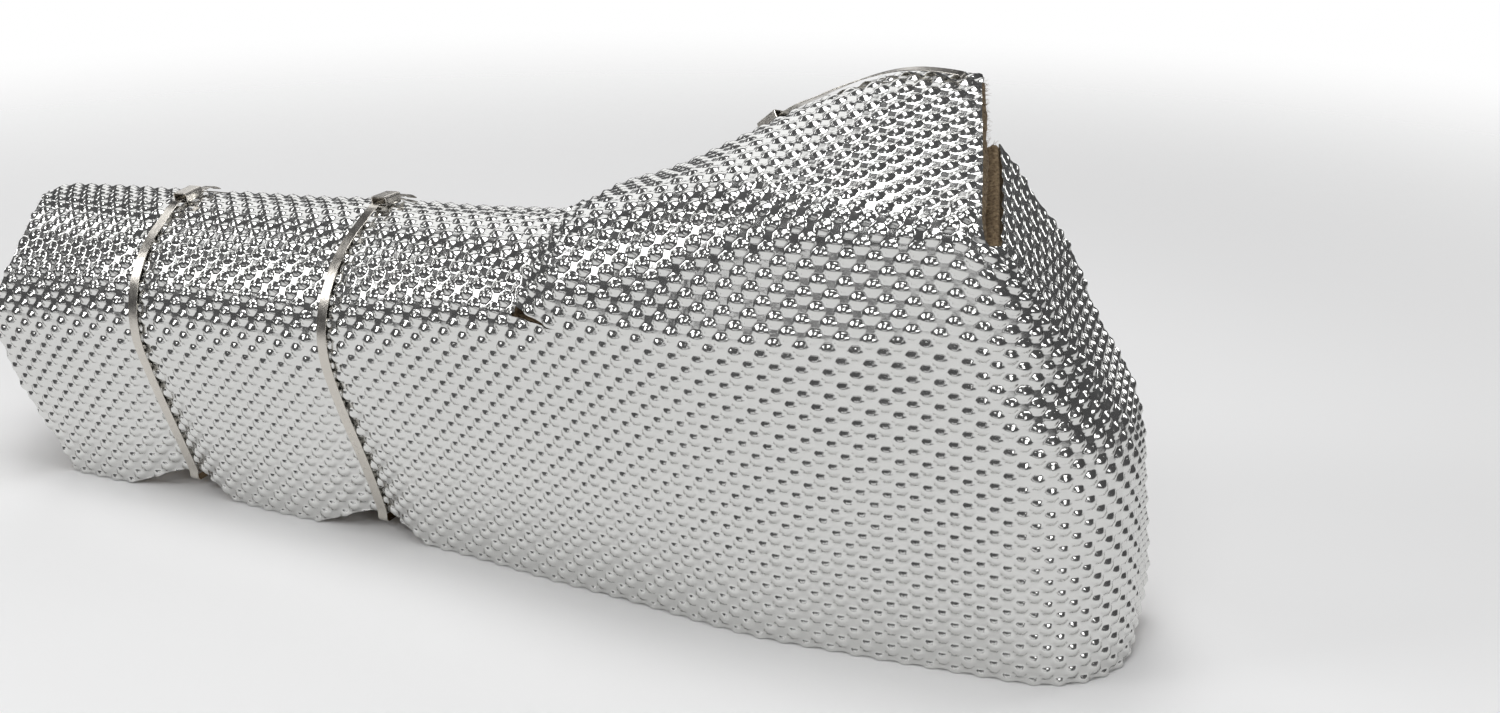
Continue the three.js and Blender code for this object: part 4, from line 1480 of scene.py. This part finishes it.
        soft = t.head_wall * t.head_soft
        outer, outer_in = loop(0, t.head_round), loop(soft, t.head_round - soft)
        inner = loop(t.head_wall, t.head_inner_round)
        inner_in = loop(t.head_wall - soft, t.head_inner_round + soft)
        half = t.head_length / 2
        levels = [
            (inner, -half + soft), (inner_in, -half), (outer_in, -half), (outer, -half + soft),
            (outer, half - soft), (outer_in, half), (inner_in, half), (inner, half - soft),
        ]
        points = [self._seated(x, y, run) for spots, run in levels for x, y in spots]
        ring = len(outer)
        faces = []
        for k in range(len(levels)):
            after = (k + 1) % len(levels)
            for c in range(ring):
                d = (c + 1) % ring
                faces.append((k * ring + c, k * ring + d, after * ring + d, after * ring + c))
        mesh = bpy.data.meshes.new(f"tie_{self.number}_lock")
        mesh.from_pydata((np.array(points) * MILLIMETRE + origin).tolist(), [], faces)
        mesh.validate()
        mesh.materials.append(self.finishes.steel)
        piece = bpy.data.objects.new(mesh.name, mesh)
        bpy.context.scene.collection.objects.link(piece)
        return piece

    def ball(self, origin: Array) -> bpy.types.Object:
        """Builds the locking ball.

        Args:
            origin: Place of the mat's axes in the row frame, in metres.

        Returns:
            The piece.
        """
        t = self.form.tie
        centre = self._seated(0, self.ball_seat + t.ball / 2, 0)
        draft = MeshDraft()
        points, faces = [[0, 0, 1]], []
        rows, columns = t.ball_rows, t.ball_columns
        for row in range(1, rows):
            tilt = math.pi * row / rows
            for column in range(columns):
                turn = 2 * math.pi * column / columns
                across = math.sin(tilt)
                points.append([across * math.cos(turn), across * math.sin(turn), math.cos(tilt)])
        points.append([0, 0, -1])
        last = len(points) - 1
        for column in range(columns):
            after = (column + 1) % columns
            faces.append((0, 1 + column, 1 + after))
            faces.append((last, last - columns + after, last - columns + column))
            for row in range(rows - 2):
                high, low = 1 + row * columns, 1 + (row + 1) * columns
                faces.append((high + column, low + column, low + after, high + after))
        directions = np.array(points)
        draft.add(centre + directions * t.ball / 2, directions, faces)
        return draft.build(f"tie_{self.number}_locking_ball", origin, self.finishes.steel)


@dataclass(frozen=True)
class Softbox:
    """One soft light: its place and size in metres, and its radiance."""

    name: str
    place: tuple[float, float, float]
    size: tuple[float, float]
    radiance: float


@dataclass(frozen=True)
class StudioSizes:
    """Camera of the photograph and the lights."""

    azimuth: float = 26.0
    elevation: float = 20.3
    distance: float = 618.75
    target_height: float = 88.0
    lens: float = 39.6
    sensor: float = 36.0
    floor: float = 6.0
    table: float = 0.45
    table_end: float = 1.3
    floor_drop: float = 0.0005
    floor_white: float = 0.9
    floor_roughness: float = 0.9
    aim_height: float = 0.08
    dark: tuple[float, float, float, float] = (0.08, 0.08, 0.082, 1)
    softboxes: tuple[Softbox, ...] = (
        Softbox("overhead", (0.1, -0.1, 1.3), (0.55, 0.8), 6.5),
        Softbox("back_left", (-0.65, 0.84, 0.87), (0.95, 1.0), 1.15),
        Softbox("left", (-1.25, 0.0, 0.85), (0.35, 0.4), 2.2),
        Softbox("right_back", (0.95, 0.95, 0.9), (0.5, 0.5), 3.5),
        Softbox("left_front", (-0.95, -0.85, 0.85), (0.5, 0.6), 5.0),
        Softbox("right_front", (1.2, -0.9, 0.7), (0.5, 0.5), 5.0),
        Softbox("high_front", (0.15, -1.1, 1.1), (0.35, 0.3), 5.0),
        Softbox("low_front", (0.3, -1.8, 0.2), (2.0, 0.26), 0.8),
    )


class Studio:
    """Floor, lights and camera."""

    def __init__(self, sizes: StudioSizes, origin: Array) -> None:
        """Builds the studio.

        Args:
            sizes: Camera and light sizes.
            origin: Place of the mat's axes in the row frame, in metres.
        """
        self.sizes = sizes
        self.origin = origin
        self._floor()
        self._camera()
        self._world()
        self._lights()

    def _floor(self) -> None:
        half = self.sizes.floor / 2
        corners = [(-half, -half, 0), (half, -half, 0), (half, half, 0), (-half, half, 0)]
        mesh = bpy.data.meshes.new("floor")
        mesh.from_pydata(corners, [], [(0, 1, 2, 3)])
        material = bpy.data.materials.new("pale_floor")
        material.use_nodes = True
        shader = material.node_tree.nodes["Principled BSDF"]
        white = self.sizes.floor_white
        shader.inputs["Base Color"].default_value = (white, white, white, 1)
        shader.inputs["Roughness"].default_value = self.sizes.floor_roughness
        self._fade(material)
        mesh.materials.append(material)
        floor = bpy.data.objects.new("floor", mesh)
        floor.location.z = -self.sizes.floor_drop
        bpy.context.scene.collection.objects.link(floor)
        floor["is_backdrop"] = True

    def _fade(self, material: bpy.types.Material) -> None:
        s = self.sizes
        tree = material.node_tree
        place = tree.nodes.new("ShaderNodeTexCoord")
        length = tree.nodes.new("ShaderNodeVectorMath")
        length.operation = "LENGTH"
        share = tree.nodes.new("ShaderNodeMapRange")
        share.interpolation_type = "SMOOTHSTEP"
        share.inputs["From Min"].default_value = s.table
        share.inputs["From Max"].default_value = s.table_end
        clear = tree.nodes.new("ShaderNodeBsdfTransparent")
        blend = tree.nodes.new("ShaderNodeMixShader")
        link = tree.links.new
        link(place.outputs["Object"], length.inputs[0])
        link(length.outputs["Value"], share.inputs["Value"])
        link(share.outputs["Result"], blend.inputs["Fac"])
        link(tree.nodes["Principled BSDF"].outputs["BSDF"], blend.inputs[1])
        link(clear.outputs["BSDF"], blend.inputs[2])
        link(blend.outputs["Shader"], tree.nodes["Material Output"].inputs["Surface"])

    def _camera(self) -> None:
        s = self.sizes
        azimuth, elevation = math.radians(s.azimuth), math.radians(s.elevation)
        back = Vector((
            math.sin(azimuth) * math.cos(elevation),
            -math.cos(azimuth) * math.cos(elevation),
            math.sin(elevation),
        ))
        target = Vector(self.origin) + Vector((0, 0, s.target_height * MILLIMETRE))
        data = bpy.data.cameras.new("photo_camera")
        data.lens = s.lens
        data.sensor_width = s.sensor
        data.sensor_fit = "HORIZONTAL"
        camera = bpy.data.objects.new("photo_camera", data)
        camera.location = target + back * s.distance * MILLIMETRE
        camera.rotation_euler = (-back).to_track_quat("-Z", "Y").to_euler()
        bpy.context.scene.collection.objects.link(camera)
        bpy.context.scene.camera = camera

    def _world(self) -> None:
        world = bpy.data.worlds.new("studio")
        bpy.context.scene.world = world
        world.use_nodes = True
        tree = world.node_tree
        shade = tree.nodes["Background"]
        shade.inputs["Color"].default_value = self.sizes.dark
        white = tree.nodes.new("ShaderNodeBackground")
        white.inputs["Color"].default_value = (1, 1, 1, 1)
        ray = tree.nodes.new("ShaderNodeLightPath")
        blend = tree.nodes.new("ShaderNodeMixShader")
        output = tree.nodes["World Output"]
        tree.links.new(ray.outputs["Is Camera Ray"], blend.inputs["Fac"])
        tree.links.new(shade.outputs["Background"], blend.inputs[1])
        tree.links.new(white.outputs["Background"], blend.inputs[2])
        tree.links.new(blend.outputs["Shader"], output.inputs["Surface"])

    def _lights(self) -> None:
        for box in self.sizes.softboxes:
            data = bpy.data.lights.new(box.name, "AREA")
            data.shape = "RECTANGLE"
            data.size, data.size_y = box.size
            data.energy = box.radiance * math.pi * box.size[0] * box.size[1]
            light = bpy.data.objects.new(box.name, data)
            light.location = box.place
            aim = Vector((0, 0, self.sizes.aim_height)) - Vector(box.place)
            light.rotation_euler = aim.to_track_quat("-Z", "Y").to_euler()
            bpy.context.scene.collection.objects.link(light)


def hand_over(piece: bpy.types.Object, node: str) -> None:
    """Sets a finished piece on the mat's body in place of a CAD node.

    Args:
        piece: The finished piece.
        node: CAD node that it stands for.
    """
    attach(piece, "root")
    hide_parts(node)


def main() -> None:
    """Builds the whole scene."""
    logging.basicConfig(level=logging.INFO)
    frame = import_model()
    form = MatForm()
    finishes = Finishes()
    ties = [Tie(number, form, finishes) for number in (1, 2, 3)]
    low, high = (np.array(corner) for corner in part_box("tie_1_band"))
    origin = (low + high) / 2 - ties[0].centre() * MILLIMETRE
    origin[2] = 0
    LOG.info("mat axes at %s", origin)
    mat = Mat(form, SheetSizes(), finishes, origin)
    log_skin = mat.facing("facing_over_log", (Zone.LOG,))
    collector_skin = mat.facing("facing_over_collector", (Zone.LOWER, Zone.FLAP, Zone.END))
    core = mat.core()
    hand_over(log_skin, "embossed_facing")
    hand_over(collector_skin, "embossed_facing")
    hand_over(core, "fibre_core")
    for tie in ties:
        hand_over(tie.band(origin), f"tie_{tie.number}_band")
        hand_over(tie.head(origin), f"tie_{tie.number}_head")
        hand_over(tie.ball(origin), f"tie_{tie.number}_ball")
    Studio(StudioSizes(), origin)
    bpy.context.scene.view_settings.view_transform = "Standard"
    cad = [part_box(node) for node in frame["nodes"]]
    cad_low = [min(box[0][k] for box in cad) for k in range(3)]
    cad_high = [max(box[1][k] for box in cad) for k in range(3)]
    low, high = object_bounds()
    LOG.info("cad %s %s finished %s %s", cad_low, cad_high, list(low), list(high))


if __name__ == "__main__":
    main()
